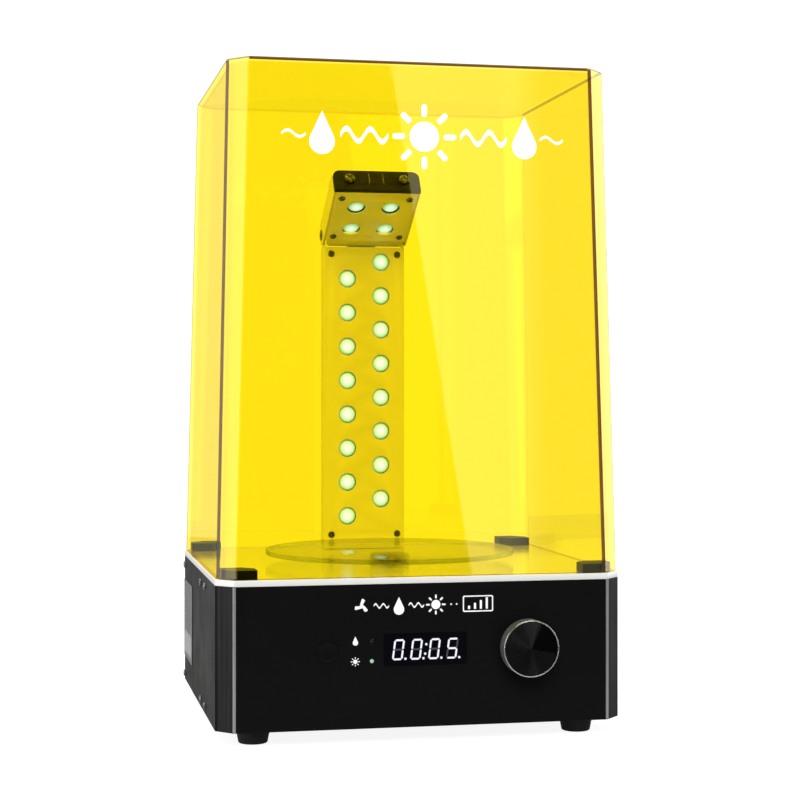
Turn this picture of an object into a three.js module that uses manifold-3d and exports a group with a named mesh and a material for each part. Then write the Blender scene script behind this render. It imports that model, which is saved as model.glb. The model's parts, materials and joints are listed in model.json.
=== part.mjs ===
// Tabletop ultraviolet curing machine: a chamfered housing with a turntable and an LED column on its
// deck, a tilting lamp head on the column and a lift-off transparent cover over the whole chamber.
// Millimetres, +Z up. The front faces -Y and the machine stands on Z = 0.

import * as THREE from 'three';
import { mergeVertices } from 'three/addons/utils/BufferGeometryUtils.js';
import Module from 'manifold-3d';

const wasm = await Module();
wasm.setup();

// ---------------------------------------------------------------- driving dimensions

const GAP = 0.3; // clearance between neighbouring pieces
const OVERRUN = 1; // how far a cutting tool runs past the face that it cuts
const SHEET = 1.5; // folded steel of the housing
const THIN_SHEET = 1.2; // folded steel of the column and the lamp head
const BOARD = 1.6; // printed circuit board

const FOOT_HEIGHT = 11;
const FOOT_RADIUS = 12;
const FOOT_X = 118;
const FOOT_FROM_FRONT = 25;
const FOOT_FROM_REAR = 25;

// Plan outlines: half width, front and back edge, and the two legs of the cut corners.
const HOUSING = { half: 146, front: 0, back: 260, cornerX: 12, cornerY: 12.6 };
const HOUSING_HEIGHT = 101;
const DECK_THICKNESS = 4;
const BODY_BOTTOM = FOOT_HEIGHT;
const BODY_TOP = BODY_BOTTOM + HOUSING_HEIGHT;
const DECK_TOP = BODY_TOP + DECK_THICKNESS;
const PANEL_TOP = BODY_TOP - GAP;

const COVER_HEIGHT = 362.5;
const COVER_WALL = 3;
const COVER_TOP_RADIUS = 1.5;
const COVER_FOOT = { half: 144.9, front: 1.1, back: 258.9, cornerX: 12, cornerY: 12.6 };
const COVER_CROWN = { half: 137, front: 6.9, back: 250.6, cornerX: 13.5, cornerY: 15.5 };

const BLOCK_SIZE = 24;
const BLOCK_HEIGHT = 6.5;
const BLOCK_FROM_WALL = 0.6; // to the inside of the cover
const BLOCK_INNER_CORNER = 8;

const FASCIA_HALF = 133.6;
const FASCIA_THICKNESS = 2.5;
const FRAME_FRONT = FASCIA_THICKNESS + GAP;
const FRAME_BACK = FRAME_FRONT + THIN_SHEET;
const FRONT_BOARD_FACE = 11.1;

const KNOB_X = 73.5;
const CONTROLS_Z = BODY_BOTTOM + 54.5;
const KNOB_RADIUS = 20;
const KNOB_DEPTH = 14;
const KNOB_STANDOFF = 1.6;
const KNOB_RING_WIDTH = 1.4;
const KNOB_RING_DEPTH = 1.2;
const KNOB_SEGMENTS = 32;
const ENCODER_SHAFT_RADIUS = 3;

const BUTTON_X = -69.4;
const BUTTON_RADIUS = 7.5;
const BUTTON_PROUD = 0.6;
const INDICATOR_X = -37.7;
const INDICATOR_RADIUS = 1.5;
const INDICATOR_HEIGHTS = [BODY_BOTTOM + 61.4, BODY_BOTTOM + 47];
const DISPLAY = { x: 0.5, width: 56, height: 22 };

const TURNTABLE_Y = 125;
const DISC_RADIUS = 95;
const DISC_THICKNESS = 3.8;
const DISC_HEIGHT = 5.7; // underside above the deck
const HUB_RADIUS = 15;
const HUB_FOOT = 1;
const HEX_ACROSS = 10;
const HEX_TOP = 4.4; // above the deck
const DRIVE_SHAFT_RADIUS = 4;
const OUTPUT_SHAFT_RADIUS = 3;

const COLUMN_FRONT = 230;
const COLUMN_WIDTH = 67;
const COLUMN_DEPTH = 16;
const COLUMN_PLATE_TOP = 248.6; // above the deck
const COLUMN_WALL_TOP = 248;
const LENS_HOLE_RADIUS = 7.25;
const LENS_RADIUS = 6.6;
const LENS_HEIGHT = 3.7;
const LENS_X = 14;
const LENS_PITCH = 27.9;
const LENS_ROWS = 8;
const TOP_LENS_HEIGHT = 236.3; // above the deck
const CORNER_SCREW_X = 27.5;
const PLATE_SCREW_HEIGHTS = [242.7, 12];

const HINGE_BACK = 4.9; // hinge axis behind the column's front face
const HINGE_HEIGHT = 258.2; // hinge axis above the deck
const HINGE_EAR_RADIUS = 6.5;
const HINGE_PIN_RADIUS = 3;
const HEAD_REST_TILT = 32.6; // degrees above level

// The lamp head is drawn level: forward is -Y and its origin is the hinge axis.
const HEAD_LENGTH = 68;
const HEAD_WIDTH = 70;
const HEAD_BOTTOM = -9;
const HEAD_TOP = 11;
const HEAD_FLANGE_RADIUS = 8;
const END_CAP_THICKNESS = 3.7;
const END_CAP_CORNER = 6;
const HEAD_LENS_REACH = [20, 48];
const HEAD_SCREW_REACH = [10.5, 60];
const END_CAP_SCREW_X = 22;

const SWITCH = { x: -60, z: BODY_BOTTOM + 40, width: 15, height: 21, flange: 1.6 };
const ROCKER_PROUD = 4.6; // the furthest point behind the rear panel
const ROCKER_TILT = 7; // degrees either side of level

const KNOB_PROUD = KNOB_DEPTH + KNOB_STANDOFF;
const MIDDLE_Y = (HOUSING.back + ROCKER_PROUD - KNOB_PROUD) / 2;

// ---------------------------------------------------------------- materials

const steel = (color, roughness) => new THREE.MeshStandardMaterial({ color, roughness, metalness: 1 });
const plastic = (color, roughness) => new THREE.MeshStandardMaterial({ color, roughness, metalness: 0 });
const clear = (color, opacity) =>
  new THREE.MeshStandardMaterial({ color, opacity, roughness: 0.05, transparent: true });

const powderCoat = () => plastic(0x242424, 0.55);
const blackGloss = () => plastic(0x111111, 0.15);
const blackPlastic = () => plastic(0x161616, 0.5);
const rubber = () => plastic(0x0d0d0d, 0.85);
const brightAluminium = () => steel(0xd9dadc, 0.15);
const satinSteel = () => steel(0xb9bbbd, 0.35);
const chrome = () => steel(0xe6e6e8, 0.08);
const blackScrew = () => steel(0x3a3a3c, 0.35);
const brass = () => steel(0xc9a45a, 0.3);
const yellowAcrylic = () => clear(0xffd400, 0.45);
const clearAcrylic = () => clear(0xf4f7f2, 0.3);
const lampLens = () => plastic(0xd8ffe0, 0.2);
const whiteBoard = () => plastic(0xe9ebe6, 0.5);
const greenBoard = () => plastic(0x1f5a34, 0.5);
const wireCover = () => plastic(0x1c1c1c, 0.6);
const greyLabel = () => plastic(0xb4b6b8, 0.4);

// ---------------------------------------------------------------- solids

/** A three.js geometry as a manifold solid, with its faces turned outwards. */
function solid(geometry) {
  const bare = geometry.clone();
  bare.deleteAttribute('normal');
  bare.deleteAttribute('uv');
  const merged = mergeVertices(bare);
  const corners = merged.index.array;
  const kept = [];
  for (let i = 0; i < corners.length; i += 3) {
    const [a, b, c] = corners.slice(i, i + 3);
    if (a !== b && b !== c && c !== a) kept.push(a, b, c);
  }
  if (signedVolume(merged.attributes.position, kept) < 0) kept.reverse();
  return new wasm.Manifold(
    new wasm.Mesh({
      numProp: 3,
      vertProperties: new Float32Array(merged.attributes.position.array),
      triVerts: new Uint32Array(kept),
    }),
  );
}

function signedVolume(position, corners) {
  const [a, b, c] = [new THREE.Vector3(), new THREE.Vector3(), new THREE.Vector3()];
  let total = 0;
  for (let i = 0; i < corners.length; i += 3) {
    a.fromBufferAttribute(position, corners[i]);
    b.fromBufferAttribute(position, corners[i + 1]);
    c.fromBufferAttribute(position, corners[i + 2]);
    total += a.dot(b.cross(c));
  }
  return total;
}

const join = (...parts) => parts.reduce((whole, part) => whole.add(part));
const cut = (part, ...tools) => tools.reduce((rest, tool) => rest.subtract(tool), part);

/** A block between two values along each axis. */
function block([x0, x1], [y0, y1], [z0, z1]) {
  const box = new THREE.BoxGeometry(x1 - x0, y1 - y0, z1 - z0);
  return solid(box.translate((x0 + x1) / 2, (y0 + y1) / 2, (z0 + z1) / 2));
}

/** A shape drawn in X and Y, raised from z0 to z1. */
function prism(shape, z0, z1, curveSegments = 8) {
  const raised = new THREE.ExtrudeGeometry(shape, { depth: z1 - z0, bevelEnabled: false, curveSegments });
  return solid(raised.translate(0, 0, z0));
}

/** A shape drawn in X and Z, running from y0 back to y1. */
function uprightPlate(shape, y0, y1, curveSegments = 8) {
  const raised = new THREE.ExtrudeGeometry(shape, { depth: y1 - y0, bevelEnabled: false, curveSegments });
  return solid(raised.rotateX(Math.PI / 2).translate(0, y1, 0));
}

/** A profile of [radius, height] points turned about Z and moved to a place. */
function turned(profile, x = 0, y = 0, segments = 20) {
  const points = profile.map(([radius, height]) => new THREE.Vector2(radius, height));
  return solid(new THREE.LatheGeometry(points, segments).rotateX(Math.PI / 2).translate(x, y, 0));
}

/** A profile of [radius, distance back] points turned about a line along Y through x and z. */
function turnedAlongY(profile, x, z, segments = 16) {
  const points = profile.map(([radius, back]) => new THREE.Vector2(radius, back));
  return solid(new THREE.LatheGeometry(points, segments).translate(x, 0, z));
}

/** A round bar along X. */
function barAlongX(radius, [x0, x1], y, z, segments = 16) {
  const bar = new THREE.CylinderGeometry(radius, radius, x1 - x0, segments);
  return solid(bar.rotateZ(Math.PI / 2).translate((x0 + x1) / 2, y, z));
}

const barAlongY = (radius, [y0, y1], x, z, segments = 16) =>
  turnedAlongY([[0, y0], [radius, y0], [radius, y1], [0, y1]], x, z, segments);

const barAlongZ = (radius, [z0, z1], x, y, segments = 20) =>
  turned([[0, z0], [radius, z0], [radius, z1], [0, z1]], x, y, segments);

/** A hexagonal bar along Z, by its size across flats. */
function hexBar(across, [z0, z1]) {
  return barAlongZ(across / Math.sqrt(3), [z0, z1], 0, 0, 6);
}

/** A round cable along a smooth curve through the points. */
function cable(points, radius, steps = 16) {
  const sides = 8;
  const section = new THREE.Shape();
  for (let i = 0; i < sides; i += 1) {
    const angle = (2 * Math.PI * i) / sides;
    section[i ? 'lineTo' : 'moveTo'](radius * Math.cos(angle), radius * Math.sin(angle));
  }
  const path = new THREE.CatmullRomCurve3(points.map((point) => new THREE.Vector3(...point)));
  return solid(new THREE.ExtrudeGeometry(section, { extrudePath: path, steps, bevelEnabled: false }));
}

/** A pan-head screw whose head stands on z = 0 and whose shank goes down. */
function screw(headRadius, headHeight, shankRadius, shankLength) {
  return turned([
    [0, -shankLength],
    [shankRadius, -shankLength],
    [shankRadius, GAP / 2],
    [headRadius, GAP / 2],
    [headRadius, 0.55 * headHeight],
    [0.72 * headRadius, headHeight],
    [0, headHeight],
  ], 0, 0, 12);
}

/** A screw's head turned to point along an axis: [degrees about X, degrees about Y]. */
const FACING = { front: [90, 0], left: [0, -90], right: [0, 90] };

function placedScrew(size, facing, place) {
  const [aboutX, aboutY] = FACING[facing];
  return screw(...size).rotate([aboutX, aboutY, 0]).translate(place);
}

const SMALL_SCREW = [2.8, 1.6, 1.4, 4]; // head radius and height, shank radius and length
const LARGE_SCREW = [4.2, 2, 2, 3];
const SHANK_HOLE = 0.4; // how much wider a screw's hole is than its shank

// ---------------------------------------------------------------- plan outlines

/** The same outline, drawn in by a distance on every edge. */
function inset(plan, distance) {
  const steepness = Math.hypot(1 / plan.cornerX, 1 / plan.cornerY);
  const reach = 1 + distance * steepness;
  return {
    half: plan.half - distance,
    front: plan.front + distance,
    back: plan.back - distance,
    cornerX: plan.cornerX * (reach - distance / plan.cornerY) - distance,
    cornerY: plan.cornerY * (reach - distance / plan.cornerX) - distance,
  };
}

function planPoints({ half, front, back, cornerX, cornerY }) {
  return [
    [-half + cornerX, front],
    [half - cornerX, front],
    [half, front + cornerY],
    [half, back - cornerY],
    [half - cornerX, back],
    [-half + cornerX, back],
    [-half, back - cornerY],
    [-half, front + cornerY],
  ];
}

function planShape(plan) {
  return new THREE.Shape(planPoints(plan).map(([x, y]) => new THREE.Vector2(x, y)));
}

/** A solid through a stack of outlines, each {plan, z}, from the lowest to the highest. */
function loft(levels) {
  const corners = planPoints(levels[0].plan).length;
  const places = levels.flatMap(({ plan, z }) => planPoints(plan).flatMap(([x, y]) => [x, y, z]));
  const faces = [];
  for (let level = 0; level + 1 < levels.length; level += 1) {
    for (let i = 0; i < corners; i += 1) {
      const [a, b] = [level * corners + i, level * corners + ((i + 1) % corners)];
      faces.push(a, b, b + corners, a, b + corners, a + corners);
    }
  }
  const last = (levels.length - 1) * corners;
  for (let i = 1; i + 1 < corners; i += 1) {
    faces.push(0, i + 1, i, last, last + i, last + i + 1);
  }
  const geometry = new THREE.BufferGeometry();
  geometry.setAttribute('position', new THREE.Float32BufferAttribute(places, 3));
  geometry.setIndex(faces);
  return solid(geometry);
}

const rectangle = (x, z, width, height) =>
  new THREE.Shape([
    new THREE.Vector2(x - width / 2, z - height / 2),
    new THREE.Vector2(x + width / 2, z - height / 2),
    new THREE.Vector2(x + width / 2, z + height / 2),
    new THREE.Vector2(x - width / 2, z + height / 2),
  ]);

// ---------------------------------------------------------------- scene graph

const machine = new THREE.Group();
machine.position.y = -MIDDLE_Y;

/** A nested group at a place, for pieces drawn about their own axis. */
function frameAt(x, y, z) {
  const frame = new THREE.Group();
  frame.position.set(x, y, z);
  machine.add(frame);
  return frame;
}

function addPiece(name, material, part, parent = machine) {
  const { vertProperties, triVerts } = part.getMesh();
  const geometry = new THREE.BufferGeometry();
  geometry.setAttribute('position', new THREE.BufferAttribute(vertProperties, 3));
  geometry.setIndex(new THREE.BufferAttribute(triVerts, 1));
  geometry.computeVertexNormals();
  const mesh = new THREE.Mesh(geometry, material);
  mesh.name = name;
  parent.add(mesh);
}

// ---------------------------------------------------------------- housing

const SIDE_SCREWS = [
  [80, BODY_BOTTOM + 93],
  [111, BODY_BOTTOM + 93],
  [240, BODY_BOTTOM + 94],
  [80, BODY_BOTTOM + 6],
  [111, BODY_BOTTOM + 6],
  [240, BODY_BOTTOM + 6],
];

/** One folded side panel with its cut corners: side is -1 for the left and 1 for the right. */
function sidePanel(side) {
  const wall = cut(
    prism(planShape(HOUSING), BODY_BOTTOM, PANEL_TOP),
    prism(planShape(inset(HOUSING, SHEET)), BODY_BOTTOM - OVERRUN, BODY_BOTTOM + HOUSING_HEIGHT),
  );
  const inner = FASCIA_HALF + GAP;
  const outer = HOUSING.half + OVERRUN;
  const ends = side < 0 ? [-outer, -inner] : [inner, outer];
  const region = block(ends, [HOUSING.front - OVERRUN, HOUSING.back + OVERRUN], [0, BODY_TOP]);
  const hole = SMALL_SCREW[2] + SHANK_HOLE;
  const across = side < 0 ? [-outer, -inner - OVERRUN] : [inner + OVERRUN, outer];
  const holes = SIDE_SCREWS.map(([y, z]) => barAlongX(hole, across, y, z, 8));
  return cut(wall.intersect(region), ...holes);
}

/** The foremost of a side panel's screws. */
function sideScrew(side) {
  const [y, z] = SIDE_SCREWS[0];
  return placedScrew(SMALL_SCREW, side < 0 ? 'left' : 'right', [side * HOUSING.half, y, z]);
}

function fascia() {
  const panel = uprightPlate(
    rectangle(0, (BODY_BOTTOM + PANEL_TOP) / 2, 2 * FASCIA_HALF, PANEL_TOP - BODY_BOTTOM),
    0,
    FASCIA_THICKNESS,
  );
  const through = [-OVERRUN, FASCIA_THICKNESS + OVERRUN];
  return cut(
    panel,
    barAlongY(ENCODER_SHAFT_RADIUS + 1.8, through, KNOB_X, CONTROLS_Z),
    barAlongY(BUTTON_RADIUS + GAP, through, BUTTON_X, CONTROLS_Z, 24),
    ...INDICATOR_HEIGHTS.map((z) => barAlongY(INDICATOR_RADIUS + GAP, through, INDICATOR_X, z, 8)),
  );
}

const SPACER_RADIUS = 2.5;
const FRONT_BOARD = { half: 95, low: CONTROLS_Z - 22, high: CONTROLS_Z + 22 };

/** The steel frame behind the fascia, with a window for the display and four spacers for its board. */
function frontFrame() {
  const low = BODY_BOTTOM + SHEET + GAP;
  const half = FASCIA_HALF - 1;
  const plate = block([-half, half], [FRAME_FRONT, FRAME_BACK], [low, PANEL_TOP - 1]);
  const through = [FRAME_FRONT - OVERRUN, FRAME_BACK + OVERRUN];
  const window = rectangle(DISPLAY.x, CONTROLS_Z, DISPLAY.width + 2 * GAP, DISPLAY.height + 2 * GAP);
  const spacers = [-1, 1].flatMap((side) =>
    [FRONT_BOARD.low + 4, FRONT_BOARD.high - 4].map((z) => {
      const length = [FRAME_BACK - 0.1, FRONT_BOARD_FACE - GAP];
      return barAlongY(SPACER_RADIUS, length, side * (FRONT_BOARD.half - 4), z, 12);
    }),
  );
  return cut(
    join(plate, ...spacers),
    uprightPlate(window, ...through),
    barAlongY(ENCODER_SHAFT_RADIUS + 1.8, through, KNOB_X, CONTROLS_Z),
    barAlongY(BUTTON_RADIUS + 2, through, BUTTON_X, CONTROLS_Z),
    ...INDICATOR_HEIGHTS.map((z) => barAlongY(INDICATOR_RADIUS + GAP, through, INDICATOR_X, z, 8)),
  );
}

/** The rear panel, with vent slots and openings for the power inlet and switch. */
function rearPanel() {
  const front = HOUSING.back - SHEET;
  const plate = block([-FASCIA_HALF, FASCIA_HALF], [front, HOUSING.back], [BODY_BOTTOM, PANEL_TOP]);
  const through = [front - OVERRUN, HOUSING.back + OVERRUN];
  const openings = [
    block(
      [SWITCH.x - SWITCH.width / 2 + 1 - GAP, SWITCH.x + SWITCH.width / 2 - 1 + GAP],
      through,
      [SWITCH.z - SWITCH.height / 2 + 1 - GAP, SWITCH.z + SWITCH.height / 2 - 1 + GAP],
    ),
    barAlongY(INLET.barrel + GAP, through, INLET.x, INLET.z),
  ];
  const slots = { count: 9, pitch: 7, width: 3, height: 44, firstX: 30, z: BODY_BOTTOM + 50 };
  for (let i = 0; i < slots.count; i += 1) {
    const x = slots.firstX + i * slots.pitch;
    openings.push(
      block(
        [x - slots.width / 2, x + slots.width / 2],
        through,
        [slots.z - slots.height / 2, slots.z + slots.height / 2],
      ),
    );
  }
  return cut(plate, ...openings);
}

/** The bottom plate, with two rows of air slots. */
function bottomPlate() {
  const plan = { ...inset(HOUSING, SHEET + GAP), front: FRAME_FRONT };
  const plate = prism(planShape(plan), BODY_BOTTOM, BODY_BOTTOM + SHEET);
  const slots = { count: 7, pitch: 12, width: 4, length: 46, middles: [-62, 62] };
  const tools = [];
  for (const middle of slots.middles) {
    for (let i = 0; i < slots.count; i += 1) {
      const y = TURNTABLE_Y + (i - (slots.count - 1) / 2) * slots.pitch;
      tools.push(
        block(
          [middle - slots.length / 2, middle + slots.length / 2],
          [y - slots.width / 2, y + slots.width / 2],
          [BODY_BOTTOM - OVERRUN, BODY_BOTTOM + SHEET + OVERRUN],
        ),
      );
    }
  }
  return cut(plate, ...tools);
}

function foot(x, y) {
  return turned(
    [
      [0, 0],
      [FOOT_RADIUS - 2.2, 0],
      [FOOT_RADIUS - 1.6, 0.8],
      [FOOT_RADIUS, FOOT_HEIGHT - 2],
      [FOOT_RADIUS, FOOT_HEIGHT - GAP],
      [0, FOOT_HEIGHT - GAP],
    ],
    x,
    y,
    24,
  );
}

function topDeck() {
  const plate = prism(planShape(HOUSING), BODY_TOP, DECK_TOP);
  const through = [BODY_TOP - OVERRUN, DECK_TOP + OVERRUN];
  return cut(
    plate,
    barAlongZ(BEARING.barrel + GAP, through, 0, TURNTABLE_Y),
    barAlongZ(HARNESS_HOLE, through, 0, HARNESS_Y, 12),
  );
}

/** A block that locates one corner of the cover: sideX is -1 or 1, atBack says which end. */
function cornerBlock(sideX, atBack) {
  const room = inset(COVER_FOOT, COVER_WALL + BLOCK_FROM_WALL);
  const outerX = room.half;
  const innerX = outerX - BLOCK_SIZE;
  const [y0, y1] = atBack ? [room.back, room.back - BLOCK_SIZE] : [room.front, room.front + BLOCK_SIZE];
  const inward = Math.sign(y1 - y0);
  const points = [
    [outerX - room.cornerX, y0],
    [outerX, y0 + inward * room.cornerY],
    [outerX, y1],
    [innerX + BLOCK_INNER_CORNER, y1],
    [innerX, y1 - inward * BLOCK_INNER_CORNER],
    [innerX, y0],
  ];
  const shape = new THREE.Shape(points.map(([x, y]) => new THREE.Vector2(sideX * x, y)));
  return prism(shape, DECK_TOP + GAP / 2, DECK_TOP + BLOCK_HEIGHT);
}

const RATING_PLATE = { front: 180, back: 246, low: BODY_BOTTOM + 20, high: BODY_BOTTOM + 82 };

function ratingPlate() {
  const face = -HOUSING.half;
  const thickness = 0.4;
  return block(
    [face - GAP / 2 - thickness, face - GAP / 2],
    [RATING_PLATE.front, RATING_PLATE.back],
    [RATING_PLATE.low, RATING_PLATE.high],
  );
}

// ---------------------------------------------------------------- power inlet and switch

const INLET = { x: -90, z: BODY_BOTTOM + 40, barrel: 5.5, flange: 8, bore: 3.6, pin: 1 };

/** A barrel power socket: a flange outside the rear panel, a body inside it and a pin in its bore. */
function powerInlet() {
  const outside = HOUSING.back + GAP / 2;
  const inside = HOUSING.back - 16;
  const body = turnedAlongY(
    [
      [0, inside],
      [INLET.barrel, inside],
      [INLET.barrel, outside],
      [INLET.flange, outside],
      [INLET.flange, outside + 1.4],
      [INLET.flange - 1, outside + 2.2],
      [INLET.bore, outside + 2.2],
      [INLET.bore, inside + 4],
      [INLET.pin, inside + 4],
      [INLET.pin, HOUSING.back - 2],
      [0, HOUSING.back - 1],
    ],
    INLET.x,
    INLET.z,
  );
  return body;
}

/** The frame of the power switch, open at the back for its rocker. */
function switchFrame() {
  const outside = HOUSING.back + GAP / 2;
  const deep = HOUSING.back - 12;
  const halfWidth = SWITCH.width / 2;
  const halfHeight = SWITCH.height / 2;
  const flange = block(
    [SWITCH.x - halfWidth, SWITCH.x + halfWidth],
    [outside, outside + SWITCH.flange],
    [SWITCH.z - halfHeight, SWITCH.z + halfHeight],
  );
  const body = block(
    [SWITCH.x - halfWidth + 1, SWITCH.x + halfWidth - 1],
    [deep, outside + SWITCH.flange / 2],
    [SWITCH.z - halfHeight + 1, SWITCH.z + halfHeight - 1],
  );
  const well = block(
    [SWITCH.x - halfWidth + 2.2, SWITCH.x + halfWidth - 2.2],
    [deep + 2, outside + SWITCH.flange + OVERRUN],
    [SWITCH.z - halfHeight + 2.2, SWITCH.z + halfHeight - 2.2],
  );
  return cut(join(flange, body), well);
}

/** The rocker, drawn about its own pivot: a shallow V whose two ends stand proud in turn. */
function rocker() {
  const halfHeight = SWITCH.height / 2 - 2.9;
  const face = ROCKER_FACE;
  const profile = new THREE.Shape([
    new THREE.Vector2(-5, -3),
    new THREE.Vector2(-5, 3),
    new THREE.Vector2(0, halfHeight),
    new THREE.Vector2(face, halfHeight),
    new THREE.Vector2(face - 1, 0),
    new THREE.Vector2(face, -halfHeight),
    new THREE.Vector2(0, -halfHeight),
  ]);
  const halfWidth = SWITCH.width / 2 - 2.6;
  const raised = new THREE.ExtrudeGeometry(profile, { depth: 2 * halfWidth, bevelEnabled: false });
  const toMachineAxes = new THREE.Matrix4().makeBasis(
    new THREE.Vector3(0, 1, 0),
    new THREE.Vector3(0, 0, 1),
    new THREE.Vector3(1, 0, 0),
  );
  return solid(raised.translate(0, 0, -halfWidth).applyMatrix4(toMachineAxes));
}

// The rocker's pivot lies just inside the rear panel; its raised end reaches ROCKER_PROUD.
const ROCKER_PIVOT_Y = HOUSING.back - 0.5;
const ROCKER_FACE = 4.2;

// ---------------------------------------------------------------- controls

/** The knob's black body: a turned cup with a step at the front for its ring. */
function knobBody() {
  const back = -KNOB_STANDOFF;
  const front = back - KNOB_DEPTH;
  const step = front + KNOB_RING_DEPTH + GAP;
  const faceRadius = KNOB_RADIUS - KNOB_RING_WIDTH - GAP;
  const bore = ENCODER_SHAFT_RADIUS + GAP;
  return turnedAlongY(
    [
      [0, front + 0.3],
      [faceRadius, front + 0.3],
      [faceRadius, step],
      [KNOB_RADIUS, step],
      [KNOB_RADIUS, back - 0.6],
      [KNOB_RADIUS - 0.6, back],
      [8, back],
      [8, back - 2],
      [bore, back - 2],
      [bore, front + 2.3],
      [0, front + 2.3],
    ],
    0,
    0,
    KNOB_SEGMENTS,
  );
}

/** The bright ring let into the front edge of the knob. */
function knobRing() {
  const front = -KNOB_STANDOFF - KNOB_DEPTH;
  const inner = KNOB_RADIUS - KNOB_RING_WIDTH;
  return turnedAlongY(
    [
      [inner, front],
      [KNOB_RADIUS - 0.7, front],
      [KNOB_RADIUS, front + 0.7],
      [KNOB_RADIUS, front + KNOB_RING_DEPTH],
      [inner, front + KNOB_RING_DEPTH],
      [inner, front],
    ],
    0,
    0,
    KNOB_SEGMENTS,
  );
}

const ENCODER = { bushFront: -0.9, boreEnd: 10.3, half: 6, plungerFront: 8, plungerBack: 9.2 };

function encoderBody() {
  const body = block(
    [KNOB_X - ENCODER.half, KNOB_X + ENCODER.half],
    [FRAME_BACK + GAP, FRONT_BOARD_FACE - GAP],
    [CONTROLS_Z - ENCODER.half, CONTROLS_Z + ENCODER.half],
  );
  const bush = barAlongY(ENCODER_SHAFT_RADIUS + 1.5, [ENCODER.bushFront, FRAME_BACK + 1], KNOB_X, CONTROLS_Z);
  const bore = barAlongY(
    ENCODER_SHAFT_RADIUS + GAP,
    [ENCODER.bushFront - OVERRUN, ENCODER.boreEnd],
    KNOB_X,
    CONTROLS_Z,
  );
  return cut(join(body, bush), bore);
}

function encoderShaft() {
  const front = -KNOB_STANDOFF - KNOB_DEPTH + 2.6;
  return barAlongY(ENCODER_SHAFT_RADIUS, [front, ENCODER.plungerFront - GAP], 0, 0);
}

function encoderPlunger() {
  return barAlongY(ENCODER_SHAFT_RADIUS - 0.4, [ENCODER.plungerFront, ENCODER.plungerBack], 0, 0, 16);
}

/** The mode button: a cap, a flange that keeps it behind the fascia, and a stem to its switch. */
function modeButton() {
  return turnedAlongY(
    [
      [0, -BUTTON_PROUD + 0.3],
      [BUTTON_RADIUS - 1.6, -BUTTON_PROUD],
      [BUTTON_RADIUS - 0.4, -BUTTON_PROUD],
      [BUTTON_RADIUS, -BUTTON_PROUD + 0.4],
      [BUTTON_RADIUS, FRAME_FRONT],
      [BUTTON_RADIUS + 1.5, FRAME_FRONT],
      [BUTTON_RADIUS + 1.5, FRAME_BACK],
      [2, FRAME_BACK],
      [2, 6.9],
      [0, 6.9],
    ],
    0,
    0,
    20,
  );
}

function modeSwitch() {
  const half = 3;
  return block(
    [BUTTON_X - half, BUTTON_X + half],
    [8, FRONT_BOARD_FACE - GAP],
    [CONTROLS_Z - half, CONTROLS_Z + half],
  );
}

/** The clear light guide: one rod to the fascia for each indicator, joined by a bar. */
function indicatorGuide() {
  const rods = INDICATOR_HEIGHTS.map((z) =>
    barAlongY(INDICATOR_RADIUS, [0.1, FRONT_BOARD_FACE - GAP], INDICATOR_X, z, 8),
  );
  const bar = block(
    [INDICATOR_X - INDICATOR_RADIUS, INDICATOR_X + INDICATOR_RADIUS],
    [FRAME_BACK + GAP, FRAME_BACK + GAP + 2],
    [Math.min(...INDICATOR_HEIGHTS), Math.max(...INDICATOR_HEIGHTS)],
  );
  return join(bar, ...rods);
}

function displayModule() {
  return uprightPlate(
    rectangle(DISPLAY.x, CONTROLS_Z, DISPLAY.width, DISPLAY.height),
    FRAME_FRONT,
    FRONT_BOARD_FACE - GAP,
  );
}

function frontBoard() {
  const back = FRONT_BOARD_FACE + BOARD;
  const { half, low, high } = FRONT_BOARD;
  const board = block([-half, half], [FRONT_BOARD_FACE, back], [low, high]);
  const connector = block([-66, -46], [back - 0.1, back + 7], [CONTROLS_Z - 4, CONTROLS_Z + 4]);
  const controller = block([8, 22], [back - 0.1, back + 1.4], [CONTROLS_Z - 7, CONTROLS_Z + 7]);
  return join(board, connector, controller);
}

// ---------------------------------------------------------------- electronics in the base

const MAIN_BOARD = { x: [-125, -25], y: [158, 232], low: BODY_BOTTOM + SHEET + 7 };

function mainBoard() {
  const top = MAIN_BOARD.low + BOARD;
  const board = block(MAIN_BOARD.x, MAIN_BOARD.y, [MAIN_BOARD.low, top]);
  const capacitors = [-112, -96].map((x) => barAlongZ(6, [top - 0.1, top + 22], x, 220, 16));
  const inductor = block([-82, -68], [212, 226], [top - 0.1, top + 12]);
  const controller = block([-84, -70], [180, 194], [top - 0.1, top + 1.4]);
  const connectors = [170, 186].map((y) => block([-121, -113], [y - 6, y + 6], [top - 0.1, top + 8]));
  const lampConnector = block([-38, -28], [200, 216], [top - 0.1, top + 8]);
  const sinkDepth = [168, 196];
  const fins = [-56, -52, -48, -44].map((x) => block([x, x + 2], sinkDepth, [top - 0.1, top + 16]));
  const sinkFoot = block([-56, -42], sinkDepth, [top - 0.1, top + 3]);
  const parts = [...capacitors, inductor, controller, ...connectors, lampConnector, sinkFoot, ...fins];
  return join(board, ...parts);
}

/** The insulating tray under the main board, with a post at each corner. */
function boardTray() {
  const floor = BODY_BOTTOM + SHEET + GAP;
  const inward = [5, -5];
  const base = block(MAIN_BOARD.x, MAIN_BOARD.y, [floor, floor + THIN_SHEET]);
  const posts = MAIN_BOARD.x.flatMap((x, i) =>
    MAIN_BOARD.y.map((y, j) => barAlongZ(3, [floor, MAIN_BOARD.low - GAP], x + inward[i], y + inward[j], 8)),
  );
  return join(base, ...posts);
}

/** The ribbon from the main board to the front board, as one round loom. */
function panelHarness() {
  return cable(
    [
      [-117, 161, 33],
      [-117, 140, 40],
      [-100, 90, 50],
      [-75, 45, 60],
      [-58, 28, CONTROLS_Z],
      [-56, 20.4, CONTROLS_Z],
    ],
    2.5,
    14,
  );
}

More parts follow.
